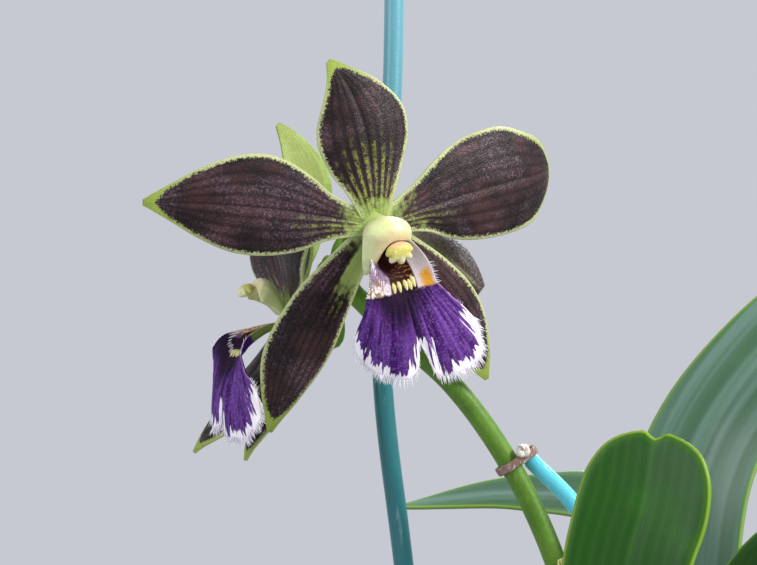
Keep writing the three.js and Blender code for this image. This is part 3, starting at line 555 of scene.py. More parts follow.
def distance_to(points, line):
    """How far each point is from a line of points."""
    start, way = line[:-1], np.diff(line, axis=0)
    reach = points[:, None] - start[None]
    share = (reach * way).sum(axis=2) / np.maximum((way * way).sum(axis=1), 1e-9)
    near = reach - np.clip(share, 0, 1)[..., None] * way
    return np.sqrt((near * near).sum(axis=2)).min(axis=1)


def blade(surface, rows, columns, thickness, crowd=1.3, rim=0.45):
    """Points, faces and measures of a thin blade. surface(t, s) gives its middle, for t from 0 to 1
    along it and s from -1 to 1 across it. The margin has the share rim of its thickness."""
    t = 1 - (1 - np.linspace(0, 1, rows + 1)) ** crowd
    s = np.linspace(-1, 1, columns + 1)
    s = np.sign(s) * (1 - (1 - np.abs(s)) ** 1.25)
    T, S = np.meshgrid(t, s, indexing="ij")
    step = 1e-3
    middle = surface(T, S)
    along = surface(np.minimum(T + step, 1), S) - surface(np.maximum(T - step, 0), S)
    across = surface(T, np.minimum(S + step, 1)) - surface(T, np.maximum(S - step, -1))
    face = unit(np.cross(along, across))
    margin = np.concatenate([middle[:, 0], middle[-1, 1:-1], middle[::-1, -1]])
    edge = distance_to(middle.reshape(-1, 3), margin)
    half = thickness / 2 * (rim + (1 - rim) * np.clip(edge / 1.6, 0, 1) ** 0.6).reshape(T.shape)
    upper = middle + face * half[..., None]
    lower = middle - face * half[..., None]
    at = np.arange(T.size).reshape(T.shape)
    quads = np.stack([at[:-1, :-1], at[1:, :-1], at[1:, 1:], at[:-1, 1:]], axis=-1).reshape(-1, 4)
    around = np.concatenate([at[0, :-1], at[:-1, -1], at[-1, :0:-1], at[:0:-1, 0]])
    after = np.roll(around, -1)
    sides = np.stack([around, after, after + T.size, around + T.size], axis=-1)
    faces = np.concatenate([quads, quads[:, ::-1] + T.size, sides]).tolist()
    half_width = np.linalg.norm(np.diff(middle, axis=1), axis=2).sum(axis=1, keepdims=True) / 2
    kept = {
        "across": np.tile((S * half_width).ravel(), 2),
        "share": np.tile(S.ravel(), 2),
        "reach": np.tile(T.ravel(), 2),
        "edge": np.tile(edge, 2),
        "face": np.repeat([1.0, 0.0], T.size),
    }
    return np.concatenate([upper.reshape(-1, 3), lower.reshape(-1, 3)]), faces, kept


def together(parts):
    """Several (points, faces, measures) as one."""
    points, faces, kept = [], [], {}
    for part_points, part_faces, part_kept in parts:
        start = sum(len(p) for p in points)
        points.append(np.asarray(part_points, float))
        faces += [[start + i for i in face] for face in part_faces]
        for label, values in part_kept.items():
            kept.setdefault(label, []).append(values)
    kept = {label: np.concatenate(values) for label, values in kept.items()}
    return np.concatenate(points), faces, kept


def bulb_point(bulb, share, angle, extra=0.0):
    girth = np.sin(np.pi * (0.16 + 0.77 * share)) ** 0.8
    rib = 1 + 0.035 * np.cos(7 * angle) + 0.012 * np.cos(23 * angle + 9 * share)
    x = (bulb["width"] * girth * rib + extra) * np.cos(angle)
    y = (bulb["depth"] * girth * rib + extra) * np.sin(angle)
    c, s = math.cos(bulb["turn"]), math.sin(bulb["turn"])
    x, y = bulb["x"] + c * x - s * y, bulb["y"] + s * x + c * y
    z = BULB_FOOT - extra + (bulb["height"] + 2 * extra) * share
    place = np.stack(np.broadcast_arrays(x, y, z), axis=-1)
    return place + np.array(bulb["lean"], float) * (share * share)[..., None]


def round_grid(shares, sides):
    """Shares along a piece and angles round it, as two grids with a row for each share."""
    return np.meshgrid(shares, np.linspace(0, 2 * np.pi, sides, endpoint=False), indexing="ij")


def bulb_skin(bulb):
    return skin(bulb_point(bulb, *round_grid(np.linspace(0, 1, 44), 96)))


def bulb_top(bulb):
    return tuple(np.array([bulb["x"], bulb["y"], BULB_FOOT + bulb["height"] - 4.0]) + bulb["lean"])


def sheath(bulb, middle_angle, spread, height):
    """A dry sheath that wraps the bulb's foot and frays to a point."""

    def surface(t, s):
        narrow = spread * (1 - 0.85 * t**2.2)
        angle = middle_angle + narrow * s
        return bulb_point(bulb, 0.02 + height * t, angle, 0.7 + 0.9 * t * t + 0.5 * np.abs(s) * t)

    return blade(surface, 24, 22, 0.35, 1.0)


ROUND_STRAP = [
    (0, 0.3),
    (0.12, 0.42),
    (0.35, 0.72),
    (0.6, 0.83),
    (0.887, 0.91),
    (0.926, 0.94),
    (0.954, 0.9),
    (0.973, 0.79),
    (0.983, 0.69),
    (0.99, 0.57),
    (0.996, 0.4),
    (1, 0.2),
]
POINTED_STRAP = [(0, 0.3), (0.12, 0.42), (0.35, 0.88), (0.55, 1), (0.78, 0.76), (0.92, 0.38), (1, 0.04)]


def leaf_surface(path, face_low, face_high, half_width, outline=POINTED_STRAP, notch=0.0, fold=1.0):
    """A leaf whose tip stops short by notch at the midrib."""
    length, at, toward = route(path)
    width = smooth(outline)

    def surface(t, s):
        place = t * (1 - notch / length * np.exp(-((np.abs(s) / 0.34) ** 1.3)) * t**8)
        tangent = toward(place)
        face = np.array(face_low) * (1 - place[..., None]) + np.array(face_high) * place[..., None]
        across = unit(np.cross(tangent, face))
        up = np.cross(across, tangent)
        reach = np.maximum(0.4, half_width * width(place)) * np.abs(s)
        opening = 1.3 + (0.25 - 1.3) * np.minimum(1, place / 0.7)
        curvature = fold * opening / half_width
        sideways = np.sign(s) * np.sin(curvature * reach) / curvature
        channel = -0.45 * np.exp(-((reach / 1.1) ** 2)) * (1 - t**4)
        lift = (1 - np.cos(curvature * reach)) / curvature + channel
        return at(place) - across * sideways[..., None] + up * lift[..., None]

    return surface


FRONT_LEAVES = [
    {
        "path": [
            bulb_top(FRONT_BULB),
            (-3, -26, 190),
            (-8, -32, 245),
            (-5, -33, 285),
            (-2, -32.5, 296),
            (0, -31, 307),
        ],
        "face_low": (0.1, -1, 0.1),
        "face_high": (-0.45, -1, 0),
        "half_width": 12,
        "outline": ROUND_STRAP,
        "notch": 1.1,
        "fold": 0.8,
    },
    {
        "path": [
            bulb_top(FRONT_BULB),
            (7, 2, 190),
            (7, 10, 250),
            (11.4, 13, 297),
            (24.5, 16, 318),
            (43, 20, 333),
            (64, 26, 338),
            (85, 32, 328),
        ],
        "face_low": (0.1, -1, 0.1),
        "face_high": (-0.5, -1, 0.6),
        "half_width": 11.4,
        "fold": 0.7,
    },
]
# A short leaf rises from a sheath at the foot of the front bulb.
FOOT_LEAF = {
    "path": [(12, -24, 90), (24, -33, 118), (35, -45, 152), (52, -60, 174), (73, -74, 170)],
    "face_low": (-0.8, 0.7, 0.3),
    "face_high": (-0.3, 0.3, 1),
    "half_width": 10.5,
}
LEFT_LEAVES = [
    {
        "path": [
            bulb_top(LEFT_BULB),
            (-14, 36, 205),
            (2, 54, 262),
            (2, 64, 286),
            (-17, 70, 289),
            (-42, 73, 286),
        ],
        "face_low": (0.3, -1, 0),
        "face_high": (0, -0.7, 1),
        "half_width": 9.5,
    },
    {
        "path": [bulb_top(LEFT_BULB), (-42, 21, 180), (-62, 22, 216), (-88, 24, 228), (-113, 26, 208)],
        "face_low": (1, -0.3, 0.2),
        "face_high": (0.4, -0.1, 1),
        "half_width": 12.5,
    },
]
RIGHT_LEAVES = [
    {
        "path": [
            bulb_top(RIGHT_BULB),
            (30, -6, 198),
            (17.5, -15, 246),
            (18.2, -18, 277),
            (30, -20, 290),
            (53, -24, 296),
            (76, -28, 288),
        ],
        "face_low": (-0.9, -0.5, 0),
        "face_high": (-0.2, -0.4, 1),
        "half_width": 12,
    },
    {
        "path": [bulb_top(RIGHT_BULB), (44, 30, 178), (62, 42, 214), (86, 54, 224), (108, 64, 202)],
        "face_low": (-1, -0.4, 0.2),
        "face_high": (-0.3, -0.2, 1),
        "half_width": 12.5,
    },
]


def veins_group():
    """Parallel veins across a blade: 1 on a vein and 0 between. They wander and fade a little."""
    inputs = {"Across": FLOAT, "Spacing": FLOAT, "Place": VECTOR, "Wander": FLOAT}
    tree, given = new_tree("parallel_veins", "ShaderNodeTree", inputs, {"Vein": FLOAT})
    drift = node(tree, "ShaderNodeTexNoise", {"Vector": given["Place"], "Scale": 60.0, "Detail": 2.0})
    steps = given["Across"] / given["Spacing"] + (drift - 0.5) * given["Wander"]
    wave = calc("COSINE", 2 * math.pi * steps)
    node(tree, "NodeGroupOutput", {"Vein": calc("POWER", 0.5 * wave + 0.5, 2.0)}, None)
    return tree


PARALLEL_VEINS = veins_group()


def veins(across, spacing, place, wander=0.3):
    inputs = {"Across": across, "Spacing": spacing, "Place": place, "Wander": wander}
    return node(place.tree, "ShaderNodeGroup", inputs, node_tree=PARALLEL_VEINS)


def leaf_material():
    made, tree, shader = new_material("leaf", Specular_IOR_Level=0.25, Coat_Roughness=0.24)
    place = object_place(tree)
    across, reach = measure(tree, "across"), measure(tree, "reach")
    edge, upper, bloom = measure(tree, "edge"), measure(tree, "face"), measure(tree, "bloom")
    body, grain = weathered(place, "#1f5902", "#174c00", 16, 0.5, 0.35, 0.06)
    young = tint(rise(reach, 0.35, 0.02), body, "#7f9f3a")
    coarse = veins(across, 2.1, place)
    fine = veins(across, 0.52, place, 0.6)
    lined = tint(0.05 * coarse, young, "#5d9c2a")
    middle = calc("POWER", 2.718, -2.6 * across * across)
    ribbed = tint(0.22 * middle, lined, "#4c7a35")
    # A painted sheen, a bluish grey that stands in for reflected sky, lies in long bands over the older
    # leaves.
    bands = {"Vector": vector(across, 6.0 * reach), "Scale": 0.3, "Detail": 2.0}
    stroke = node(tree, "ShaderNodeTexNoise", bands)
    band = (0.42 * rise(stroke, 0.36, 0.62) + 0.22) * bloom
    with_painted_sheen = tint(band, ribbed, "#75938c")
    # The green lightens near the margin in a painted glow of light shining through the thin edge.
    glow = 0.3 * rise(edge, 1.6, 0.2)
    edge_glow_painted = tint(glow, with_painted_sheen, "#5c9010")
    rim = rise(edge, 0.5, 0.2)
    edged = tint(0.6 * rim, edge_glow_painted, "#93b236")
    back = tint(0.2 * fine, "#52803a", "#42702c")
    feed(shader, "Base Color", tint(upper, back, edged))
    gloss = -0.15 * upper + 0.06 * grain + 0.5
    feed(shader, "Roughness", gloss)
    feed(shader, "Coat Weight", 0.5 * bloom + 0.08)
    height = 0.6 * coarse + 0.3 * fine
    relief(shader, 0.1 * grain + height, 0.02)
    return made


def bulb_material(name, main, patch, scar):
    """Skin of a bulb: smooth, with long wrinkles, and corky scars near its foot."""
    made, tree, shader = new_material(name, Roughness=0.45, Coat_Weight=0.15, Coat_Roughness=0.3)
    place = object_place(tree)
    height = height_of(place)
    body, grain = weathered(place, main, patch, 11, 0.45, 0.5, 0.2)
    wrinkles = noise(place, 1.3, 4.0, (1, 1, 14))
    lined = tint(rise(wrinkles, 0.5, 0.75), body, patch)
    low = rise(height + 0.02 * wrinkles, 122 * MM, 96 * MM)
    feed(shader, "Base Color", tint(0.8 * low, lined, scar))
    relief(shader, 0.2 * grain + wrinkles, 0.5)
    return made


def sheath_material():
    made, tree, shader = new_material("dry_sheath", Roughness=0.75)
    place = object_place(tree)
    body, grain = weathered(place, "#b59a6c", "#7d5d3a", 8, 0.5, 0.4, 0.35)
    fibres = veins(measure(tree, "across"), 0.42, place, 0.8)
    feed(shader, "Base Color", tint(0.5 * fibres, body, "#6a4c2e"))
    relief(shader, 0.3 * grain + fibres, 0.25)
    return made


LEAF = leaf_material()
GREEN_BULB = bulb_material("green_bulb", "#6d9138", "#9aa956", "#8d7347")
DRY_SHEATH = sheath_material()
front_sheaths = [(-2.2, 1.3, 0.42), (0.7, 1.5, 0.55), (2.6, 1.2, 0.3)]
# Each growth with its leaves, how much gloss and painted sheen each leaf has, and its sheaths.
growths = [
    ("growth_front", FRONT_BULB, [*FRONT_LEAVES, FOOT_LEAF], (0, 1, 0.1), front_sheaths),
    ("growth_left", LEFT_BULB, LEFT_LEAVES, (1, 0.8), [(-1.9, 1.4, 0.5), (1.1, 1.5, 0.36)]),
    ("growth_right", RIGHT_BULB, RIGHT_LEAVES, (0, 0.3), [(-1.1, 1.4, 0.45), (2.1, 1.5, 0.33)]),
]
for name, bulb, leaves, gloss_and_painted_sheen, sheaths in growths:
    blades = [blade(leaf_surface(**leaf), 96, 30, LEAF_THICKNESS) for leaf in leaves]
    for (points, _, kept), bloom in zip(blades, gloss_and_painted_sheen):
        kept["bloom"] = np.full(len(points), float(bloom))
    leaf_points, leaf_faces, leaf_kept = together(blades)
    sheath_points, sheath_faces, sheath_kept = together([sheath(bulb, *each) for each in sheaths])
    pieces = [
        build(f"{name}_leaves", leaf_points, leaf_faces, LEAF, leaf_kept),
        build(f"{name}_bulb", *bulb_skin(bulb), GREEN_BULB),
        build(f"{name}_sheaths", sheath_points, sheath_faces, DRY_SHEATH, sheath_kept),
    ]
    for piece in pieces:
        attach(piece, "root")
        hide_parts(name)

# Old bulb, rhizome and roots: a leafless shrunken bulb at the back, joined to the others by a short
# runner. Roots in a dull white coat creep over the bark and dive into it.
RHIZOME_ROUTE = [(2, 27, 84), (1, 14, 83), (-1, 2, 83), (2, -6, 83)]
ROOT_ROUTES = [
    [(-2, 4, 86), (-9, 1.2, 95), (-17, -3, 97.3), (-31, -9, 97), (-40, -18, 88)],
    [(-4, 2, 88), (20, -1, 97.5), (36, -9, 97), (42, -17, 88)],
    [(2, 20, 88), (10, 40, 96.5), (24, 41, 96), (33, 32, 88)],
]


def rods_tree():
    """Round rods along the lines of a mesh, as thick as the measure "girth" says at each point."""
    tree, given = growing_tree("rods_along_routes", {"Sides": INTEGER, "Material": MATERIAL})
    line = node(tree, "GeometryNodeMeshToCurve", {0: given["Geometry"]})
    ring = node(tree, "GeometryNodeCurvePrimitiveCircle", {"Resolution": given["Sides"], "Radius": 1.0})
    girth = node(tree, "GeometryNodeInputNamedAttribute", {"Name": "girth"}, data_type="FLOAT")
    rod = node(tree, "GeometryNodeCurveToMesh", {0: line, 1: ring, "Scale": girth, "Fill Caps": True})
    return close_tree(node(tree, "GeometryNodeSetShadeSmooth", {0: rod}), given["Material"])


def lines_mesh(name, rods):
    """A mesh of lines. Each rod has its points, its girth by share of the length, and its steps."""
    places, edges, girths, runs = [], [], [], []
    for points, girth, steps in rods:
        length, at, _ = route(points)
        share = np.linspace(0, 1, steps + 1)
        start = sum(len(p) for p in places)
        places.append(at(share))
        edges += [(start + k, start + k + 1) for k in range(steps)]
        girths.append(np.broadcast_to(girth(share), share.shape) * MM)
        runs.append(share * length)
    mesh = bpy.data.meshes.new(name)
    mesh.from_pydata((np.concatenate(places) * MM).tolist(), edges, [])
    for label, values in (("girth", girths), ("run", runs)):
        attribute = mesh.attributes.new(label, "FLOAT", "POINT")
        attribute.data.foreach_set("value", np.concatenate(values).astype(np.float32))
    return mesh


RODS_TREE = rods_tree()


def rods(name, parts, sides, material):
    values = {"Sides": sides, "Material": material}
    return grown(name, RODS_TREE, values, lines_mesh(name, parts))


def root_material():
    made, tree, shader = new_material("root_coat", Roughness=0.85)
    place = object_place(tree)
    body, grain = weathered(place, "#c3bfae", "#8d8a70", 6, 0.5, 0.35, 0.35)
    algae = rise(noise(place, 9, 4.0), 0.55, 0.68)
    feed(shader, "Base Color", tint(0.6 * algae, body, "#7f8f55"))
    relief(shader, 0.7 * noise(place, 1.4) + grain, 0.3)
    return made


def root_girth(share):
    return 2.3 - 0.5 * share + 0.12 * np.sin(31 * share) + 0.08 * np.sin(67 * share + 1)


def runner_girth(share):
    return 4.5 + 0.35 * np.cos(2 * np.pi * share * 7)


ROOT_COAT = root_material()
OLD_SKIN = bulb_material("old_bulb_skin", "#8b8f55", "#b09a62", "#6f5432")
old_sheaths = [sheath(OLD_BULB, -2.4, 1.5, 0.6), sheath(OLD_BULB, 0.6, 1.5, 0.5)]
wrap_points, wrap_faces, wrap_kept = together(old_sheaths)
old_pieces = [
    rods("roots", [(path, root_girth, 120) for path in ROOT_ROUTES], 20, ROOT_COAT),
    rods("rhizome", [(RHIZOME_ROUTE, runner_girth, 60)], 24, OLD_SKIN),
    build("old_bulb_body", *bulb_skin(OLD_BULB), OLD_SKIN),
    build("old_bulb_sheaths", wrap_points, wrap_faces, DRY_SHEATH, wrap_kept),
]
for piece in old_pieces:
    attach(piece, "root")
    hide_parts("old_bulb")

# Flower stem: one arching green stem with a thin bract at each joint, and a stalk to each flower that
# widens into the ovary behind it. The stem is smooth and waxy, with faint long ribs.
STEM_ROUTE = [
    (-17, -9, 76),
    (-16.5, -9, 98),
    (-13.5, -8, 135),
    (-9.5, -6, 185),
    (-7.5, -3, 230),
    (-9.5, -1, 262),
    (-14.35, 0, 281.7),
    (-22.1, 0, 298.6),
    (-32.7, -2, 313.6),
    (-43.7, -3, 323.4),
    (-50, -2, 329.6),
    (-55.5, 1, 334.6),
]
STEM_RADIUS_LOW = 2.5
STEM_RADIUS_HIGH = 1.75
BRACT_PLACES = (0.2, 0.4, 0.58, 0.71)
BRACT_LENGTH = 0.045
GAP = 0.35
FRONT_BLOOM = {"middle": (-46.2, -22, 341), "yaw": 20, "pitch": -5, "roll": 10}
FRONT_LIP = {"roll": 4, "size": 1.0, "nod": 0}
SIDE_BLOOM = {"middle": (-61.6, 8, 324.5), "yaw": -65, "pitch": 18, "roll": 0}
SIDE_LIP = {"roll": 0, "size": 0.88, "nod": -40}
LIPS = [("front_bloom", FRONT_BLOOM, FRONT_LIP), ("side_bloom", SIDE_BLOOM, SIDE_LIP)]
BUD = {"root": (-41.5, 11, 340.5), "tip": (-27.5, 9, 330), "radius": 5}


def bloom_matrix(middle, yaw, pitch, roll):
    """A bloom's axes: x to the right of its face, y up and z out of it, with places in millimetres."""
    yaw, pitch = math.radians(yaw), math.radians(pitch)
    out = Vector((math.sin(yaw) * math.cos(pitch), -math.cos(yaw) * math.cos(pitch), math.sin(pitch)))
    right = Vector((math.cos(yaw), math.sin(yaw), 0))
    turn = Matrix.Rotation(math.radians(roll), 3, out)
    columns = (turn @ right, turn @ out.cross(right), out)
    return Matrix.Translation(middle) @ Matrix(columns).transposed().to_4x4()


def placed(matrix, points):
    m = np.array(matrix)
    return np.asarray(points, float) @ m[:3, :3].T + m[:3, 3]


def stem_girth(share):
    girth = STEM_RADIUS_LOW + (STEM_RADIUS_HIGH - STEM_RADIUS_LOW) * share
    for place in BRACT_PLACES:
        girth = girth + 0.3 * np.exp(-(((share - place + 0.004) / 0.006) ** 2))
    return girth


def stalk_route(bloom, start):
    matrix = bloom_matrix(**bloom)
    ends = placed(matrix, [(0, -0.4, -9), (0, 0, -2.4 - GAP)])
    return [*start, *ends.tolist()]


def bract(place):
    """A bract clasps the stem and ends in a point that stands off it."""
    _, at, toward = route(STEM_ROUTE)

    def surface(t, s):
        here = place + BRACT_LENGTH * t
        tangent = toward(here)
        side = unit(np.cross(tangent, (0.4, -1, 0)))
        front = np.cross(side, tangent)
        wrap = s * (2.2 + (0.25 - 2.2) * t**0.8)
        girth = STEM_RADIUS_LOW + (STEM_RADIUS_HIGH - STEM_RADIUS_LOW) * here
        off = girth + 0.25 + 1.1 * t * t + 0.12 * np.sin(9 * t) * s * s
        return at(here) + side * (off * np.sin(wrap))[..., None] + front * (off * np.cos(wrap))[..., None]

    return blade(surface, 28, 20, 0.5, 1.0)


def stem_material():
    made, tree, shader = new_material("green_stem", Roughness=0.45, Specular_IOR_Level=0.35)
    place = object_place(tree)
    body, grain = weathered(place, "#5c8425", "#4d7519", 13, 0.45, 0.4, 0.1)
    streaks = noise(place, 0.5, 3.0, (1, 1, 2))
    lined = tint(0.15 * rise(streaks, 0.5, 0.7), body, "#8fb055")
    feed(shader, "Base Color", lined)
    relief(shader, 0.3 * grain + streaks, 0.03)
    return made


def bract_material():
    made, tree, shader = new_material("bract", Roughness=0.6)
    place = object_place(tree)
    reach, edge = measure(tree, "reach"), measure(tree, "edge")
    body, grain = weathered(place, "#668e2e", "#7c9440", 4, 0.5, 0.3, 0.15)
    tip = tint(rise(reach, 0.8, 1.0), body, "#9a8a50")
    fibres = veins(measure(tree, "across"), 0.5, place)
    lined = tint(0.25 * fibres, tip, "#5f8030")
    pale = 0.5 * rise(edge, 0.3, 0.05)
    feed(shader, "Base Color", tint(pale, lined, "#bdc987"))
    relief(shader, 0.3 * grain + fibres, 0.12)
    return made


GREEN_STEM = stem_material()
stalk_girth = smooth([(0, 1.2), (0.4, 1.2), (0.75, 1.7), (1, 1.5)])
bud_axis = unit(np.array(BUD["tip"], float) - np.array(BUD["root"], float))
bud_joint = np.array(BUD["root"], float) - GAP * bud_axis
stem_rods = [
    (STEM_ROUTE, stem_girth, 420),
    (stalk_route(FRONT_BLOOM, [(-48.6, -2.2, 328.2), (-51.5, -4.5, 334)]), stalk_girth, 60),
    (stalk_route(SIDE_BLOOM, [(-54.6, 0.6, 334), (-54.6, 7, 335)]), stalk_girth, 60),
    (
        [(-53.6, 0, 332.8), (-52, 7, 339), (bud_joint - 3 * bud_axis).tolist(), bud_joint.tolist()],
        smooth([(0, 1.1), (0.7, 1.3), (1, 1.8)]),
        50,
    ),
]
bract_points, bract_faces, bract_kept = together([bract(place) for place in BRACT_PLACES])
stem_pieces = [
    rods("flower_stem_and_stalks", stem_rods, 28, GREEN_STEM),
    build("stem_bracts", bract_points, bract_faces, bract_material(), bract_kept),
]
for piece in stem_pieces:
    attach(piece, "root")
    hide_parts("flower_stem")

# Sepals and petals: three sepals and two petals to a bloom, on a small green cup. They are thick and
# waxy, dark chocolate brown with a fine glitter of raised cells, green at the root and in streaks
# between the veins, and edged in yellow green. The backs are paler green.
PETAL_THICKNESS = 0.8
PETAL_ROOT = 1.2
DORSAL = {
    "heading": 86,
    "swing": 40,
    "swing_power": 2.4,
    "lift": 4,
    "curl": -22,
    "length": 28.4,
    "places": (0, 0.15, 0.3, 0.47, 0.62, 0.76, 0.88, 1),
    "left": (2.4, 4.5, 6.9, 8.2, 7.6, 5.8, 3.2, 0.5),
    "right": (2.4, 3.7, 5.6, 7.7, 8, 5.5, 2.5, 0.5),
    "bow": -0.03,
    "wave": (0.25, 2.6, 0.4),
    "streaks": (0.52, 0.52),
    "green": (0.13, 0.13),
}
LEFT_PETAL = {
    "heading": 158,
    "swing": 16,
    "lift": -6,
    "curl": -30,
    "length": 38.4,
    "places": (0, 0.18, 0.28, 0.39, 0.5, 0.62, 0.75, 0.88, 1),
    "left": (1.8, 4.2, 6.4, 7.7, 8.2, 7.8, 6, 3.2, 0.5),
    "right": (1.8, 3.6, 6, 8, 8.7, 7.9, 5.8, 3, 0.5),
    "bow": -0.02,
    "wave": (0.3, 2.2, 1.1),
    "streaks": (0.38, 0.0),
}
RIGHT_PETAL = {
    "heading": 11,
    "swing": -14,
    "lift": -4,
    "curl": -70,
    "curl_power": 3,
    "length": 41,
    "pale_end": 0.5,
    "places": (0, 0.18, 0.28, 0.39, 0.52, 0.66, 0.78, 0.9, 1),
    "left": (1.8, 4.4, 6.6, 8.4, 9.5, 9.3, 7.5, 4.7, 0.5),
    "right": (1.8, 4, 6.4, 8, 8.8, 8.9, 7.8, 4.8, 0.5),
    "bow": -0.02,
    "wave": (0.35, 3.4, 2.0),
    "streaks": (0.0, 0.38),
}
LEFT_SEPAL = {
    "heading": 224,
    "swing": 28.5,
    "lift": -8,
    "curl": -20,
    "length": 39,
    "places": (0, 0.18, 0.35, 0.54, 0.69, 0.84, 0.93, 1),
    "left": (2.2, 3.4, 4.7, 5.6, 5.1, 3.1, 1.5, 0.4),
    "right": (2.2, 3.4, 4.8, 5.7, 5.3, 3.3, 1.6, 0.4),
    "bow": -0.04,
    "wave": (0.2, 2.4, 0.0),
    "streaks": (0.5, 0.0),
    "green": (0.3, 0.1),
}
RIGHT_SEPAL = {
    **LEFT_SEPAL,
    "heading": 313,
    "swing": -23.5,
    "length": 36.5,
    "streaks": (0.0, 0.0),
    "green": (0.1, 0.1),
}
FRONT_PETALS = [DORSAL, LEFT_PETAL, RIGHT_PETAL, LEFT_SEPAL, RIGHT_SEPAL]
SIDE_PETALS = [
    {
        **DORSAL,
        "root": 2.2,
        "heading": 90,
        "swing": 0,
        "lift": -2,
        "curl": 58,
        "length": 35,
        "twist": -76,
    },
    {**LEFT_PETAL, "root": 2.4, "heading": 126, "swing": 0, "lift": 18, "curl": 6, "length": 32},
    {
        **RIGHT_PETAL,
        "root": 2.4,
        "heading": 48,
        "swing": 14,
        "lift": 40,
        "curl": 34,
        "curl_power": 1.3,
        "length": 33,
        "twist": 30,
    },
    {**LEFT_SEPAL, "heading": 240, "swing": 8, "lift": 8, "curl": 14, "length": 29},
    {**RIGHT_SEPAL, "heading": 278, "swing": -8, "lift": 4, "curl": 2, "length": 25},
]


def petal_midrib(petal):
    """Place, direction across and direction of the face along a petal's midrib, in the bloom's axes."""
    steps = 40
    root = petal.get("root", PETAL_ROOT)
    power, curl_power = petal.get("swing_power", 1), petal.get("curl_power", 1.3)
    heading = math.radians(petal["heading"])
    place = Vector((math.cos(heading), math.sin(heading), 0)) * root
    places, acrosses, faces = [], [], []
    for k in range(steps + 1):
        t = k / steps
        heading = math.radians(petal["heading"] + petal["swing"] * t**power)
        tilt = math.radians(petal["lift"] + (petal["curl"] - petal["lift"]) * t**curl_power)
        flat = Vector((math.cos(heading), math.sin(heading), 0))
        tangent = flat * math.cos(tilt) + Vector((0, 0, math.sin(tilt)))
        twist = Matrix.Rotation(math.radians(petal.get("twist", 0) * t), 3, tangent)
        across = twist @ Vector((-flat.y, flat.x, 0))
        places.append(tuple(place))
        acrosses.append(tuple(across))
        faces.append(tuple(tangent.cross(across)))
        place = place + tangent * (petal["length"] / steps)
    share = np.linspace(0, 1, steps + 1)

    def read(table, t):
        return np.stack([np.interp(t, share, np.array(table)[:, k]) for k in range(3)], axis=-1)

    return lambda t: (read(places, t), unit(read(acrosses, t)), unit(read(faces, t)))


def petal_surface(petal):
    midrib = petal_midrib(petal)
    left, right = (smooth(list(zip(petal["places"], petal[side]))) for side in ("left", "right"))
    height, waves, phase = petal["wave"]

    def surface(t, s):
        place, across, face = midrib(t)
        side = np.abs(s)
        reach = np.maximum(0.35, np.where(s < 0, right(t), left(t))) * side
        roll = np.sin(2 * np.pi * waves * t + phase * np.sign(s))
        ripple = height * side**3 * roll * np.sin(np.pi * t) ** 0.5
        groove = -0.22 * np.exp(-((reach / 0.55) ** 2)) * np.sin(np.pi * np.clip(t * 1.05, 0, 1)) ** 0.5
        lift = petal["bow"] * reach * reach + 0.3 * side * (1 - t) + ripple + groove
        return place + across * (np.sign(s) * reach)[..., None] + face * lift[..., None]

    return surface


def cup():
    """The green cup at the end of the ovary that carries the petals."""
    turns = np.linspace(0.02, 0.98, 16) * math.pi
    points, faces = turned([(3.2 * math.sin(a), -0.7 - 1.7 * math.cos(a)) for a in turns], 40)
    kept = {"across": 0, "share": 0, "reach": 0, "edge": 3, "face": 1, "rim": 0, "streaks": 0, "green": 1}
    return points, faces, {label: np.full(len(points), float(value)) for label, value in kept.items()}


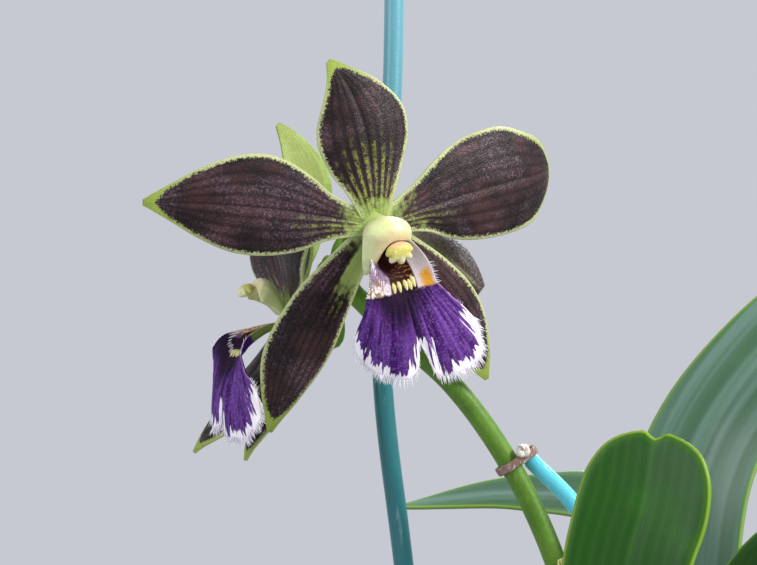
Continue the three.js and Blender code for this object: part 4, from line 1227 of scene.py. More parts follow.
def petal_material():
    made, tree, shader = new_material("dark_petal", Specular_IOR_Level=0.22)
    place = object_place(tree)
    share, reach = measure(tree, "share"), measure(tree, "reach")
    # Raised cells, each with its own tone, over a brown that wanders from red to nearly black.
    tone, dome = raised_cells(place, 0.22)
    body = weathered(place, "#341c1a", "#180b0c", 5, 0.5, 0.8, 0.35)[0]
    warm = 0.5 * rise(noise(place, 8, 3.0), 0.45, 0.65)
    wandering = tint(warm, body, "#52302f")
    # Pale flecks on the raised cells are partly their own tone and partly painted sheen. The sheen gathers
    # in broad drifting patches, where a painted purple grey haze also lies.
    drift = rise(noise(place, 7.5, 3.0), 0.42, 0.66)
    speckle_and_painted_sheen = calc("POWER", tone, 3.0) * (0.55 * drift + 0.12)
    pale_flecked = tint(speckle_and_painted_sheen, wandering, "#86707c")
    painted_sheen_haze = tint(0.12 * drift, pale_flecked, "#6b5560")
    lines = veins(4.5 * share, 1.0, place, 0.35)
    rib = rise(abs(share), 0.035, 0.0)
    dark = calc("MAXIMUM", 0.6 * lines, 0.8 * rib)
    veined = tint(dark, painted_sheen_haze, "#0f0607")
    # Yellow green streaks run out from the root between the veins, broken up by brown cells.
    ragged = noise(place, 1.3, 4.0) - 0.5
    narrow = 0.3 * share * share
    end = measure(tree, "streaks") - narrow
    beyond = 0.45 * ragged + reach - end
    near = rise(beyond, 0.03, -0.25)
    gaps = 1.0 - rise(lines, 0.0, 0.35)
    freckles = rise(noise(place, 0.5, 3.0), 0.38, 0.56)
    streak = near * gaps * freckles
    off_rib = rise(abs(share), 0.04, 0.12)
    streaked = tint(streak * off_rib, veined, "#83893a")
    root_end = reach - measure(tree, "green")
    root = rise(0.3 * ragged + root_end, 0.05, -0.1)
    rooted = tint(root, streaked, "#9cb060")
    # The margin is broken inwards by the ends of the brown cells, and is wider and greener at the tip.
    fray = 1.6 * (noise(place, 0.35, 2.0) - 0.5)
    tip = rise(reach, 0.88, 1.0)
    wide = 1.6 * tip + measure(tree, "rim")
    inner, outer = wide + 0.4, wide - 0.15
    margin = rise(measure(tree, "edge") + fray, inner, outer)
    rim = tint(rise(reach, 0.7, 0.95), "#b4bb84", "#97a94a")
    front = tint(margin, rooted, rim)
    back_body = weathered(place, "#a9c36e", "#93a558", 7, 0.45, 0.5, 0.12)[0]
    shade = 0.18 * rise(measure(tree, "edge"), 0.6, 2.6)
    behind = tint(0.12 * lines + shade, back_body, "#6a5a44")
    feed(shader, "Base Color", tint(measure(tree, "face"), behind, front))
    feed(shader, "Roughness", -0.25 * tone + 0.6)
    height = 0.55 * dome + -0.35 * lines
    relief(shader, height, 0.1)
    return made


def petal(shape):
    """A petal, with its margin's width and the lengths of its green streaks and root as measures."""
    points, faces, kept = blade(petal_surface(shape), 84, 40, PETAL_THICKNESS)
    side = np.clip(kept["share"] * 2.5 + 0.5, 0, 1)
    for name, usual in (("streaks", (0.4, 0.4)), ("green", (0.12, 0.12))):
        left, right = shape.get(name, usual)
        kept[name] = right + (left - right) * side
    outer_half = np.clip(kept["reach"] * 3 - 1.8, 0, 1)
    kept["rim"] = 0.45 + shape.get("pale_end", 0) * outer_half
    return points, faces, kept


def petals_of(bloom, parts):
    matrix = bloom_matrix(**bloom)
    points, faces, kept = together([petal(shape) for shape in parts] + [cup()])
    return placed(matrix, points), faces, kept


DARK_PETAL = petal_material()
petals = {"front_bloom": (FRONT_BLOOM, FRONT_PETALS), "side_bloom": (SIDE_BLOOM, SIDE_PETALS)}
for name, (bloom, parts) in petals.items():
    points, faces, kept = petals_of(bloom, parts)
    piece = build(f"{name}_sepals_and_petals", points, faces, DARK_PETAL, kept)
    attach(piece, "root")
    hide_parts(f"{name}_petals")

# Lips: the third petal of a bloom, a channel under the column that opens into a fan of two lobes with a
# cleft between. It is velvety purple with a white edge and a fringe of soft white hairs. The channel has
# pale walls and a maroon throat, and a comb of white ridges and yellow points stands at its mouth.
LIP_ROUTE = [(0, -1.3, 1.6), (0, -3.6, 4.6), (0, -7.1, 7.4), (0, -10.4, 9)]
# Points of the fan's rim, by the share across. The left lobe is turned more towards the camera.
LIP_RIM = [
    (-1, (-9.3, -15.7, 6.2)),
    (-0.86, (-9.7, -18.7, 6)),
    (-0.7, (-8.5, -21.2, 6.6)),
    (-0.5, (-6.7, -23.2, 7.2)),
    (-0.3, (-4.2, -24.6, 7.6)),
    (-0.17, (-1.9, -24.8, 7.9)),
    (-0.08, (-0.3, -23.3, 8.4)),
    (0, (0.4, -19.7, 9.2)),
    (0.07, (1.7, -23, 8.4)),
    (0.14, (2.8, -25.4, 7.8)),
    (0.25, (4.5, -26.3, 7.4)),
    (0.4, (7.2, -26.2, 7)),
    (0.55, (10, -25.8, 6.4)),
    (0.68, (11.8, -24.4, 5.8)),
    (0.82, (12.5, -21.5, 5.6)),
    (0.93, (12, -18.7, 5.8)),
    (1, (10, -16.5, 6.4)),
]
LIP_THICKNESS = 0.6
LIP_MOUTH_SHARE = 0.4
HAIR_LENGTH = 1.9
HAIR_RADIUS = 0.11
_, lip_at, lip_toward = route(LIP_ROUTE)
wall_left = smooth([(0, 2.2), (0.4, 3.8), (0.75, 6.5), (1, 7.3)])
wall_right = smooth([(0, 2.8), (0.4, 4.4), (0.75, 5.6), (1, 5.5)])
channel_fold = smooth([(0, 0.26), (0.5, 0.2), (0.8, 0.16), (1, 0.11)])
rim_places = [smooth([(share, place[k]) for share, place in LIP_RIM]) for k in range(3)]


def lip_surface(t, s):
    """The channel as far as its mouth, and from there a fan that spreads to the rim."""
    inside = np.clip(t / LIP_MOUTH_SHARE, 0, 1)
    tangent = lip_toward(inside)
    across = np.array([1.0, 0, 0])
    face = np.cross(tangent, across)
    fold = channel_fold(inside)
    reach = np.where(s < 0, wall_left(inside), wall_right(inside)) * s
    lift = (1 - np.cos(fold * reach)) / fold
    sideways = np.sin(fold * reach) / fold * np.where(s < 0, 1.18, 0.95)
    channel = lip_at(inside) + across * sideways[..., None] + face * lift[..., None]
    spread = np.clip((t - LIP_MOUTH_SHARE) / (1 - LIP_MOUTH_SHARE), 0, 1)
    rim = np.stack([place(s) for place in rim_places], axis=-1)
    bulge = 1.3 * np.sin(np.pi * spread) * (1 - 0.5 * np.abs(s))
    groove = -0.45 * np.exp(-((s / 0.07) ** 2)) * np.sin(np.pi * spread) ** 0.5
    furrows = 0.1 * np.cos(2 * np.pi * s * 9) * np.sin(np.pi * spread)
    ruffle = 0.35 * spread**6 * np.sin(2 * np.pi * s * 3.3)
    place = channel * (1 - spread)[..., None] + rim * spread[..., None]
    return place + np.array([0, 0, 1.0]) * (bulge + groove + furrows + ruffle)[..., None]


def hairs_tree():
    """Slim tapering hairs on the points of a mesh, along the measure "way", bent and leaned at random."""
    inputs = {"Length": FLOAT, "Radius": FLOAT, "Lean": FLOAT, "Seed": INTEGER, "Material": MATERIAL}
    tree, given = growing_tree("soft_hairs", inputs)
    cone = {"Vertices": 5, "Side Segments": 4, "Radius Top": 0.12, "Radius Bottom": 1.0, "Depth": 1.0}
    height = height_of(node(tree, "GeometryNodeInputPosition"))
    bent = {"Geometry": node(tree, "GeometryNodeMeshCone", cone), "Offset": vector(2.2 * height * height)}
    hair = node(tree, "GeometryNodeSetPosition", bent)
    way = node(tree, "GeometryNodeInputNamedAttribute", {"Name": "way"}, data_type="FLOAT_VECTOR")
    stray = scaled(drawn_vector(given["Seed"], (-1, -1, -1), (1, 1, 1)), given["Lean"])
    toward = node(tree, "ShaderNodeVectorMath", {0: way, 1: stray}, operation="ADD")
    long = node(tree, "GeometryNodeInputNamedAttribute", {"Name": "long"}, data_type="FLOAT")
    length = given["Length"] * drawn(given["Seed"] + 5, 0.55, 1.1) * long
    instances = {
        "Points": given["Geometry"],
        "Instance": hair,
        "Rotation": node(tree, "FunctionNodeAlignRotationToVector", {"Vector": toward}, axis="Z"),
        "Scale": vector(given["Radius"], given["Radius"], length),
    }
    return close_tree(node(tree, "GeometryNodeInstanceOnPoints", instances), given["Material"])


HAIRS_TREE = hairs_tree()


def hair_roots(name, places, ways, long):
    """A mesh of loose points, each with the way and the length of the hair that grows there."""
    mesh = bpy.data.meshes.new(name)
    mesh.from_pydata((places * MM).tolist(), [], [])
    way = mesh.attributes.new("way", "FLOAT_VECTOR", "POINT")
    way.data.foreach_set("vector", ways.astype(np.float32).ravel())
    mesh.attributes.new("long", "FLOAT", "POINT").data.foreach_set("value", long.astype(np.float32))
    return mesh


def fringe_roots(t, s, inside, long):
    """Roots on the lip at (t, s), with hairs that point away from the places inside it."""
    places = lip_surface(t, s)
    ways = unit(places - inside)
    return places - 0.3 * ways, ways, long


def lip_fringe():
    """Roots all along the fan's rim, and a little way up its right side."""
    s = np.linspace(-1, 1, 470)
    s = s[np.abs(s) > 0.012]
    long = np.clip(0.35 + np.abs(s) * 4, 0, 1)
    front = fringe_roots(np.ones_like(s), s, lip_surface(np.full_like(s, 0.86), s * 0.97), long)
    t = np.linspace(0.8, 1, 34)
    growing = 0.3 + 0.7 * (t - 0.8) / 0.2
    side = fringe_roots(t, np.ones_like(t), lip_surface(t - 0.03, np.full_like(t, 0.8)), growing)
    return [np.concatenate(each) for each in zip(front, side)]


def wall_fringe():
    """Short teeth along the upper edges of the channel's walls, near its mouth."""
    t = np.linspace(0.3, 0.43, 12)
    edges = [np.full_like(t, side) for side in (-1, 1)]
    sides = [fringe_roots(t, s, lip_surface(t, 0.8 * s), np.ones_like(t)) for s in edges]
    return [np.concatenate(each) for each in zip(*sides)]


def lip_material(name, mouth, wall_tone, border):
    made, tree, shader = new_material(name, Roughness=0.55, Specular_IOR_Level=0.1)
    place = object_place(tree)
    share, reach = measure(tree, "share"), measure(tree, "reach")
    outward = abs(share)
    tone, dome = raised_cells(place, 0.24)
    # Rays that run from the mouth to the rim.
    fan = vector(share, 0.15 * reach)
    rays = noise(fan, 42, 3.0)
    painted_highlight_bands = noise(fan, 140, 2.0)
    body = weathered(place, "#52167a", "#3c0b5c", 4, 0.5, 0.7, 0.25)[0]
    # Broad bands of lighter violet are a painted highlight, where light catches the velvet.
    lit = tint(0.5 * rise(painted_highlight_bands, 0.4, 0.6), body, "#7f4bab")
    pale_flecked = tint(0.4 * calc("POWER", tone, 4.0), lit, "#9d80c4")
    rayed = tint(0.7 * rise(rays, 0.52, 0.62), pale_flecked, "#1c0330")
    middle = 0.8 * rise(outward, 0.09, 0.0)
    grooved = tint(middle, rayed, "#14031f")
    aside = abs(share + 0.22)
    away = 0.34 * aside + 0.25 * rays + reach
    dark = tint(0.95 * rise(away, 0.92, 0.66), grooved, "#18021c")
    # The white edge is cut by purple teeth that run out along the rays, and is wider on the right lobe.
    teeth = -7.0 * (rays - 0.5)
    width = 0.75 * rise(share, 0.35, 0.75) + border
    inward = measure(tree, "rim") + teeth - width
    pale = rise(inward, 0.15, -0.15)
    edged = tint(pale, dark, "#f6f1f6")
    side_line = rise(measure(tree, "edge"), 0.35, 0.1) * rise(share, 0.8, 0.9)
    lined = tint(0.7 * side_line, edged, "#c9a3c9")
    # The channel's floor is maroon with thin yellow stripes.
    swirl = 16.0 * noise(place, 1.6, 3.0) + 260.0 * reach
    broken = rise(noise(place, 0.5, 2.0), 0.4, 0.55) * rise(reach, 0.17, 0.26)
    stripe = rise(calc("SINE", swirl), 0.5, 0.95) * broken
    on_right = 0.6 * rise(share, -0.25, 0.1) + 0.15
    throat = tint(stripe * on_right, "#2c0609", "#96701f")
    # Its walls are lilac white, with purple gaps and brown spots on the left and orange on the right.
    spotted = rise(noise(place, 0.6, 1.0), 0.56, 0.62) * rise(share, 0.1, -0.3)
    wall = tint(0.6 * spotted, wall_tone, "#5b2b62")
    combed = rise(reach, 0.2, 0.24) * rise(reach, 0.36, 0.33)
    gaps = combed * rise(share, -0.3, -0.42)
    gapped = tint(0.75 * gaps, wall, "#4f2260")
    cloud = 0.16 * noise(place, 1.5, 3.0) + reach
    low = rise(cloud, 0.36, 0.43) * rise(outward, 0.42, 0.7)
    within = low * rise(outward, 0.99, 0.86)
    gilded = tint(within * rise(share, -0.2, 0.2), gapped, "#e2a02c")
    brown = low * rise(noise(place, 0.9, 2.0), 0.42, 0.52)
    freckled = tint(brown * rise(share, 0.2, -0.2), gilded, "#8a6a3a")
    # The throat's floor reaches further up the left wall.
    deep = 0.36 * rise(reach, 0.32, 0.2) + 0.34
    side_limit = rise(share, 0.1, -0.1) * (deep - 0.38) + 0.38
    beside = outward - side_limit
    channel = tint(rise(beside, -0.03, 0.05), throat, freckled)
    ragged = 0.06 * noise(place, 1.2, 2.0) + reach
    tube = rise(-0.035 * outward + ragged, mouth + 0.012, mouth - 0.012)
    front = tint(tube, lined, channel)
    outer = tint(tube, tint(pale, "#41176a", "#d9cfe2"), "#7f8a48")
    feed(shader, "Base Color", tint(measure(tree, "face"), outer, front))
    relief(shader, -0.6 * rays + 0.5 * dome, 0.12)
    return made


def hair_material():
    made, tree, shader = new_material("white_hairs", Roughness=0.5, Sheen_Weight=0.3, Sheen_Roughness=0.5)
    place = object_place(tree)
    body, grain = weathered(place, "#f8f5f8", "#e6deea", 1.5, 0.4, 0.2, 0.06)
    feed(shader, "Base Color", body)
    relief(shader, grain, 0.02)
    return made


def comb_material(name, near, far):
    """Flesh of a ridge, stained maroon at its foot."""
    made, tree, shader = new_material(name, Roughness=0.45)
    place = object_place(tree)
    along = measure(tree, "run")
    body, grain = weathered(place, near, far, 0.8, 0.3, 0.15, 0.1)
    stripes = rise(noise(place, 0.35, 2.0), 0.48, 0.56)
    stained = tint(stripes * rise(along, 0.9, 0.2), body, "#4c0c14")
    feed(shader, "Base Color", stained)
    relief(shader, grain, 0.03)
    return made


def comb_rods(sides, girth, long, stand):
    """Ridges of a horseshoe round the throat, at the given shares across the channel."""
    shape = smooth([(0, 0.5 * girth), (0.3, girth), (0.6, 0.75 * girth), (1, 0.03)])
    ridges = []
    for k, s in enumerate(sides):
        t = 0.335 - 0.12 * ((s + 0.1) / 0.75) ** 2 + 0.008 * math.sin(5 * k)
        reach = long + 0.012 * (k % 2) + 0.01 * math.sin(3 * k + 1)
        start = lip_surface(np.array([t]), np.array([s]))[0]
        end = lip_surface(np.array([t + reach]), np.array([s * 1.08]))[0]
        off = unit(np.array([-0.5 * s, 0.35, 0.8])) * stand
        path = [start - 0.1 * off, (start + end) / 2 + 0.4 * off, end + 0.25 * off]
        ridges.append(([place.tolist() for place in path], shape, 14))
    return ridges


LEFT_RIDGES = comb_rods(np.linspace(-0.9, -0.34, 9), 0.17, 0.07, 0.7)
FRONT_POINTS = comb_rods((-0.25, -0.13, 0.01, 0.14, 0.27), 0.46, 0.095, 0.6)
PURPLE_LIPS = {
    "front_bloom": lip_material("purple_lip", 0.413, "#d9cdd0", 1.25),
    "side_bloom": lip_material("older_purple_lip", 0.27, "#c4a982", 0.7),
}
WHITE_HAIRS = hair_material()
WHITE_RIDGE = comb_material("white_ridge", "#dcd4d4", "#c4b2c0")
YELLOW_POINT = comb_material("pale_yellow_point", "#dcd28e", "#c2b055")


def lip_matrix(bloom, lip):
    turn = Matrix.Rotation(math.radians(lip["roll"]), 4, "Z")
    return bloom_matrix(**bloom) @ turn @ Matrix.Scale(lip["size"], 4)


def moved(matrix, roots):
    places, ways, long = roots
    turned_ways = placed(matrix, ways) - np.array(matrix.translation)
    return placed(matrix, places), unit(turned_ways), long


for name, bloom, lip in LIPS:
    matrix = lip_matrix(bloom, lip)
    points, faces, kept = blade(lip_surface, 110, 120, LIP_THICKNESS, 1.0)
    across = np.linspace(-1, 1, 200)
    kept["rim"] = distance_to(points, lip_surface(np.ones(200), across))
    hair_values = {"Length": HAIR_LENGTH * MM, "Radius": HAIR_RADIUS * MM, "Lean": 0.38, "Seed": 3}
    hair_values["Material"] = WHITE_HAIRS
    tooth_values = {**hair_values, "Length": 1.1 * MM, "Radius": 0.13 * MM, "Lean": 0.15}
    fringe_mesh = hair_roots(f"{name}_fringe", *moved(matrix, lip_fringe()))
    wall_mesh = hair_roots(f"{name}_wall_teeth", *moved(matrix, wall_fringe()))
    ridges = [(placed(matrix, path).tolist(), girth, steps) for path, girth, steps in LEFT_RIDGES]
    tips = [(placed(matrix, path).tolist(), girth, steps) for path, girth, steps in FRONT_POINTS]
    pieces = [
        build(f"{name}_lip_blade", placed(matrix, points), faces, PURPLE_LIPS[name], kept),
        grown(f"{name}_fringe", HAIRS_TREE, hair_values, fringe_mesh),
        grown(f"{name}_wall_teeth", HAIRS_TREE, tooth_values, wall_mesh),
        rods(f"{name}_comb_ridges", ridges, 10, WHITE_RIDGE),
        rods(f"{name}_comb_points", tips, 10, YELLOW_POINT),
    ]
    for piece in pieces:
        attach(piece, "root")
        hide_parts(f"{name}_lip")

# Columns: a waxy cream hood arches forward over each lip, with a wing down each side, and holds a
# yellow anther cap under its tip that ends in small round lobes.
COLUMN_ROUTE = [(0, 0.2, 1.2), (-0.5, 0.1, 4), (-0.7, -0.4, 6.8), (-0.2, -1.7, 9.3)]
CAP_MIDDLE = (0, -3.5, 9.3)
CAP_SIZE = (2.3, 1.7, 1.2)
column_girth = smooth([(0, 2.3), (0.35, 3.2), (0.7, 4.1), (1, 2.9)])
left_wing = smooth([(0, 0.3), (0.3, 1.3), (0.6, 4.4), (0.8, 5.9), (0.93, 3.9), (1, 0.6)])
right_wing = smooth([(0, 0.3), (0.3, 1), (0.6, 2.4), (0.8, 2.2), (1, 0.5)])


def column_skin(spread):
    """A hood whose left wing is long and hangs out by the given spread, or short where that is 0."""
    _, at, toward = route(COLUMN_ROUTE)
    t = np.concatenate([np.linspace(0, 0.92, 34), 0.92 + 0.08 * np.sin(np.linspace(0.2, np.pi / 2, 8))])
    share, angle = round_grid(t, 96)
    tangent = toward(share)
    right = np.array([1.0, 0, 0])
    up = -np.cross(right, tangent)
    closing = np.sqrt(np.clip(1 - ((share - 0.9) / 0.115).clip(0, 1) ** 2, 0.02, 1))
    radius = column_girth(share) * closing
    low = np.sin(angle) < 0
    # Under each side a thin wing hangs down to the lip's wall.
    left_hang = left_wing(share) * (0.35 + 2.5 * spread)
    hang = np.where(np.cos(angle) < 0, left_hang, right_wing(share)) * closing
    lobe = np.abs(np.cos(angle)) ** 3 * np.abs(np.sin(angle)) ** 0.7 / 0.41
    ridge = 0.05 * np.exp(-((np.cos(angle) / 0.3) ** 2))
    height = np.where(low, 0.12, 0.6 + ridge) * radius * np.sin(angle) - hang * lobe * low
    flare = hang * lobe * low * (np.cos(angle) < 0)
    sideways = right * (radius * np.cos(angle) - spread * flare)[..., None]
    forward = tangent * (0.7 * spread * flare)[..., None]
    points, faces = skin(at(share) + sideways + forward + up * height[..., None])
    kept = {"run": np.append(share.ravel(), [0, 1])}
    kept["under"] = np.append((low & (np.abs(np.cos(angle)) < 0.85)).astype(float).ravel(), [0, 0])
    return points, faces, kept


def cap_skin(spread):
    """A pad whose lower edge spreads into round lobes."""
    rings = []
    angle = np.linspace(0, 2 * np.pi, 96, endpoint=False)
    low = np.clip(-np.sin(angle) + 0.25, 0, 1)
    for a in np.linspace(0.03, np.pi - 0.03, 40):
        lobes = 1 + (0.34 + 0.3 * spread) * low * (np.abs(np.cos(4 * angle)) - 0.5) * math.sin(a) ** 2
        radius = math.sin(a) ** 0.9 * lobes
        x = CAP_SIZE[0] * radius * np.cos(angle)
        y = CAP_SIZE[1] * radius * np.sin(angle) * np.where(np.sin(angle) < 0, 1.1, 0.9)
        z = np.full_like(angle, CAP_SIZE[2] * -math.cos(a))
        rings.append(np.stack([x, y, z], axis=-1) + CAP_MIDDLE)
    points, faces = skin(rings)
    height = (np.array(points)[:, 1] - CAP_MIDDLE[1]) / CAP_SIZE[1]
    return points, faces, {"high": height}


def column_material():
    made, tree, shader = new_material("cream_column", Roughness=0.4, Coat_Weight=0.1, Coat_Roughness=0.3)
    place = object_place(tree)
    run, under = measure(tree, "run"), measure(tree, "under")
    body, grain = weathered(place, "#e6e6c0", "#d3d89a", 3, 0.5, 0.5, 0.06)
    green = tint(rise(run, 0.5, 0.0), body, "#a9c06c")
    blush = 0.4 * rise(run, 0.86, 0.98)
    tipped = tint(blush, green, "#eabf95")
    streaks = rise(noise(place, 0.5, 2.0, (1, 1, 3)), 0.55, 0.65)
    shadowed = tint(0.6 * streaks, "#d8d79a", "#7a2a2c")
    feed(shader, "Base Color", tint(0.7 * under, tipped, shadowed))
    relief(shader, 0.7 * noise(place, 0.9) + grain, 0.015)
    return made


def cap_material():
    made, tree, shader = new_material("yellow_cap", Roughness=0.4, Coat_Weight=0.15)
    place = object_place(tree)
    high = measure(tree, "high")
    body, grain = weathered(place, "#dcd478", "#c8c25a", 0.9, 0.45, 0.2, 0.12)
    pale = tint(rise(high, -0.2, -0.9), body, "#e9e8b4")
    feed(shader, "Base Color", tint(rise(high, 0.25, 0.85), pale, "#e8b08a"))
    relief(shader, grain, 0.04)
    return made


WING_SPREADS = {"front_bloom": 0.26, "side_bloom": 0.0}
COLUMN_PARTS = [
    ("column", column_skin, column_material()),
    ("anther", cap_skin, cap_material()),
]
for name, bloom, lip in LIPS:
    nod = math.radians(lip["nod"])
    lift = Matrix.Translation((0, 0, 2.6 * abs(math.sin(nod))))
    matrix = lip_matrix(bloom, lip) @ lift @ Matrix.Rotation(nod, 4, "X")
    spread = WING_SPREADS[name]
    for label, skin_of, material in COLUMN_PARTS:
        points, faces, kept = skin_of(spread)
        piece = build(f"{name}_{label}_wax", placed(matrix, points), faces, material, kept)
        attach(piece, "root")
        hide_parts(f"{name}_{label}")

# Bud: five closed petals in a slim egg that nods at the end of its stalk. It is brown, with paler seams
# and a green foot.


def bud_skin():
    root, tip = np.array(BUD["root"], float), np.array(BUD["tip"], float)
    axis = tip - root
    side = unit(np.cross(axis, (0, 1, 0)))
    front = unit(np.cross(axis, side))
    share, angle = round_grid(np.linspace(0, 1, 40), 80)
    turn = angle + 0.4 * share
    girth = BUD["radius"] * np.sin(np.pi * (0.14 + 0.8 * share)) ** 0.8
    seam = 1.06 - 0.16 * np.abs(np.sin(2.5 * turn + np.pi / 2)) ** 14 * np.sin(np.pi * share) ** 0.3
    radius = girth * seam
    place = root + axis * share[..., None]
    place = place + side * (radius * np.cos(turn))[..., None] + front * (radius * np.sin(turn))[..., None]
    points, faces = skin(place)
    near_seam = (np.abs(np.sin(2.5 * turn + np.pi / 2)) ** 10).ravel()
    return points, faces, {"seam": np.append(near_seam, [1, 1]), "run": np.append(share.ravel(), [0, 1])}


def bud_material():
    made, tree, shader = new_material("bud_skin", Roughness=0.45, Coat_Weight=0.15, Coat_Roughness=0.3)
    place = object_place(tree)
    seam, run = measure(tree, "seam"), measure(tree, "run")
    tone, dome = raised_cells(place, 0.3)
    body, grain = weathered(place, "#4b3433", "#2f1f1e", 4, 0.5, 0.7, 0.25)
    pale_flecked = tint(0.4 * calc("POWER", tone, 3.0), body, "#8f7a80")
    based = tint(rise(run, 0.2, 0.0), pale_flecked, "#8ea14e")
    lined = tint(0.35 * seam, based, "#8b8160")
    feed(shader, "Base Color", lined)
    relief(shader, grain + dome, 0.08)
    return made


bud_points, bud_faces, bud_kept = bud_skin()
bud = build("bud_body", bud_points, bud_faces, bud_material(), bud_kept)
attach(bud, "root")
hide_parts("bud")

# Stakes: steel wire in a smooth plastic coat with a rounded end. The tall one is teal, dull and a
# little chalky from watering. The short one is a brighter blue, and is bent over to meet the flower
# stem at the tie.
TALL_STAKE = {
    "route": [
        (-17.5, 3, 40),
        (-17.6, 3, 96),
        (-30.4, 8, 190),
        (-41.2, 12, 280.6),
        (-45, 13.4, 314),
        (-44.9, 17, 344),
        (-43.2, 21, 368),
        (-42.8, 26, 424),
    ],
    "radius": 1.8,
    "coat": "#14666d",
    "worn": "#66a9b9",
}
SHORT_STAKE = {
    "route": [
        (-8, -5.5, 40),
        (-8, -5.5, 98),
        (-3.6, -7, 192),
        (-2.8, -8, 250),
        (-4.2, -6, 279),
        (-10.6, -2, 291.6),
        (-19.6, 1.6, 301),
    ],
    "radius": 1.5,
    "coat": "#55c3d6",
    "worn": "#8fe0ea",
}


def coat_material(name, coat, worn):
    made, tree, shader = new_material(name, Roughness=0.35, Coat_Weight=0.25, Coat_Roughness=0.2)
    place = object_place(tree)
    height = height_of(place)
    body, grain = weathered(place, coat, worn, 10, 0.15, 0.4, 0.06)
    # The coat turns paler towards the top of the tall stake.
    high = 0.85 * rise(height, 315 * MM, 390 * MM)
    paler_towards_top = tint(high, body, worn)
    chalk = rise(noise(place, 2.2, 5.0, (1, 1, 5)), 0.58, 0.72)
    feed(shader, "Base Color", tint(0.3 * chalk, paler_towards_top, "#c7dcdc"))
    feed(shader, "Roughness", 0.3 * chalk + 0.32)
    scratches = noise(place, 0.5, 3.0, (1, 1, 12))
    relief(shader, 0.2 * grain + scratches, 0.05)
    return made


for name, stake in (("tall_stake", TALL_STAKE), ("short_stake", SHORT_STAKE)):
    length = route(stake["route"])[0]
    radius = stake["radius"]

    def stake_girth(share, length=length, radius=radius):
        left = (1 - share) * length
        return radius * np.sqrt(np.clip(1 - (1 - np.clip(left / radius, 0, 1)) ** 2, 0.003, 1))

    coat = coat_material(f"{name}_coat", stake["coat"], stake["worn"])
    piece = rods(f"{name}_wire", [(stake["route"], stake_girth, 900)], 32, coat)
    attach(piece, "root")
    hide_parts(name)

# Twist tie: a flat wire in pinkish paper, wrapped round the stem and the stake's end, with its white ends
# folded to a small ball in front of it.
TIE_PLACE = np.array([-21.4, 0.7, 300.2])
TIE_AXIS = unit(np.array([-0.53, -0.02, 0.85]))
TIE_REACH = {"along": 3.5, "across": 2.6, "width": 1.5, "thickness": 0.7}


def tie_axes():
    along = np.array([1, 0.35, 0.6])
    along = unit(along - TIE_AXIS * along.dot(TIE_AXIS))
    return along, np.cross(TIE_AXIS, along)


def band_skin():
    """The flat band round stem and stake, with rounded edges."""
    along, across = tie_axes()
    half_width, half_thickness = TIE_REACH["width"] / 2, TIE_REACH["thickness"] / 2
    section = np.linspace(2 * np.pi, 0, 24, endpoint=False)
    level = half_width * np.sign(np.sin(section)) * np.abs(np.sin(section)) ** 0.5
    depth = half_thickness * np.sign(np.cos(section)) * np.abs(np.cos(section)) ** 0.5
    rings = []
    for a in np.linspace(0, 2 * np.pi, 96, endpoint=False):
        out = along * math.cos(a) + across * math.sin(a)
        crease = 0.05 * math.sin(9 * a) + 0.03 * math.sin(17 * a + 1)
        middle = TIE_PLACE + along * (TIE_REACH["along"] + half_thickness) * math.cos(a)
        middle = middle + across * (TIE_REACH["across"] + half_thickness) * math.sin(a)
        rings.append(middle + np.outer(depth, out) + np.outer(level + crease, TIE_AXIS))
    return skin(rings, joined=True)


def knot_rods():
    """The two ends of the tie, twisted together and folded down to a small ball in front."""
    along, across = tie_axes()
    middle = TIE_PLACE + np.array([1.0, -2.7, 1.9])
    strands = []
    for phase in (0, math.pi):
        places = []
        for share in np.linspace(0, 1, 25):
            angle = phase + share * 2 * np.pi * 1.3
            loop = along * math.cos(angle) + TIE_AXIS * math.sin(angle)
            places.append(tuple(middle + 0.62 * loop + across * (0.8 - 1.3 * share)))
        strands.append((places, lambda share: 0.62 + 0.05 * np.sin(40 * share), 70))
    return strands


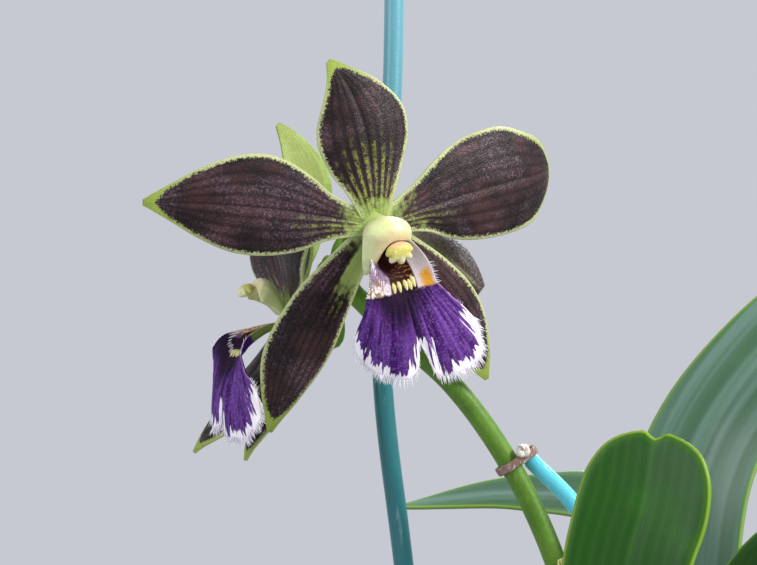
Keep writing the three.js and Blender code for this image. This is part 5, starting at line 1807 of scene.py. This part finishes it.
def paper_material(name, paper, soiled):
    made, tree, shader = new_material(name, Roughness=0.75, Specular_IOR_Level=0.2)
    place = object_place(tree)
    body, grain = weathered(place, paper, soiled, 2.5, 0.45, 0.3, 0.2)
    creases = noise(place, 0.8, 4.0, (1, 1, 2))
    worn = tint(0.4 * rise(creases, 0.56, 0.66), body, "#e8e2dd")
    feed(shader, "Base Color", worn)
    relief(shader, 0.3 * grain + creases, 0.15)
    return made


BAND_PAPER = paper_material("tie_paper", "#a68a80", "#84695f")
KNOT_PAPER = paper_material("tie_paper_ends", "#efeae6", "#d6ccc4")
tie_pieces = [build("tie_band", *band_skin(), BAND_PAPER), rods("tie_knot", knot_rods(), 14, KNOT_PAPER)]
for piece in tie_pieces:
    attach(piece, "root")
    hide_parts("twist_tie")

# Room: a plain pale floor, a soft key light at the upper right, a weak one at the left, one from behind,
# and an even pale grey all round.
FLOOR_RADIUS = 1100
angles = np.linspace(0, 2 * np.pi, 96, endpoint=False)
floor_points = [(FLOOR_RADIUS * math.cos(a), FLOOR_RADIUS * math.sin(a), 0) for a in angles]
floor_material, floor_tree, floor_shader = new_material("pale_floor", Roughness=0.8)
floor_tone = weathered(object_place(floor_tree), "#a9aaae", "#a4a5aa", 200, 0.5, 3, 0.02)[0]
feed(floor_shader, "Base Color", floor_tone)
floor = build("floor", floor_points, [list(range(96))], floor_material)


def soft_light(name, place, target, size, watts, tone):
    data = bpy.data.lights.new(name, "AREA")
    data.shape = "DISK"
    data.size = size
    data.energy = watts
    data.color = tone
    lamp = bpy.data.objects.new(name, data)
    lamp.location = place
    lamp.rotation_euler = (Vector(target) - Vector(place)).to_track_quat("-Z", "Y").to_euler()
    bpy.context.scene.collection.objects.link(lamp)


soft_light("key", (1.15, -0.6, 1.25), (-0.03, 0, 0.3), 0.6, 34, (1.0, 0.98, 0.95))
soft_light("fill", (-1.1, -0.7, 0.8), (-0.03, 0, 0.3), 0.9, 6, (0.93, 0.96, 1.0))
soft_light("back", (0.4, 1.1, 1.2), (-0.03, 0, 0.3), 0.8, 14, (0.95, 0.98, 1.0))
world = bpy.data.worlds.new("room")
world.use_nodes = True
feed(world.node_tree.nodes["Background"], "Color", "#c6c9d1")
bpy.context.scene.world = world
bpy.context.scene.view_settings.view_transform = "Standard"
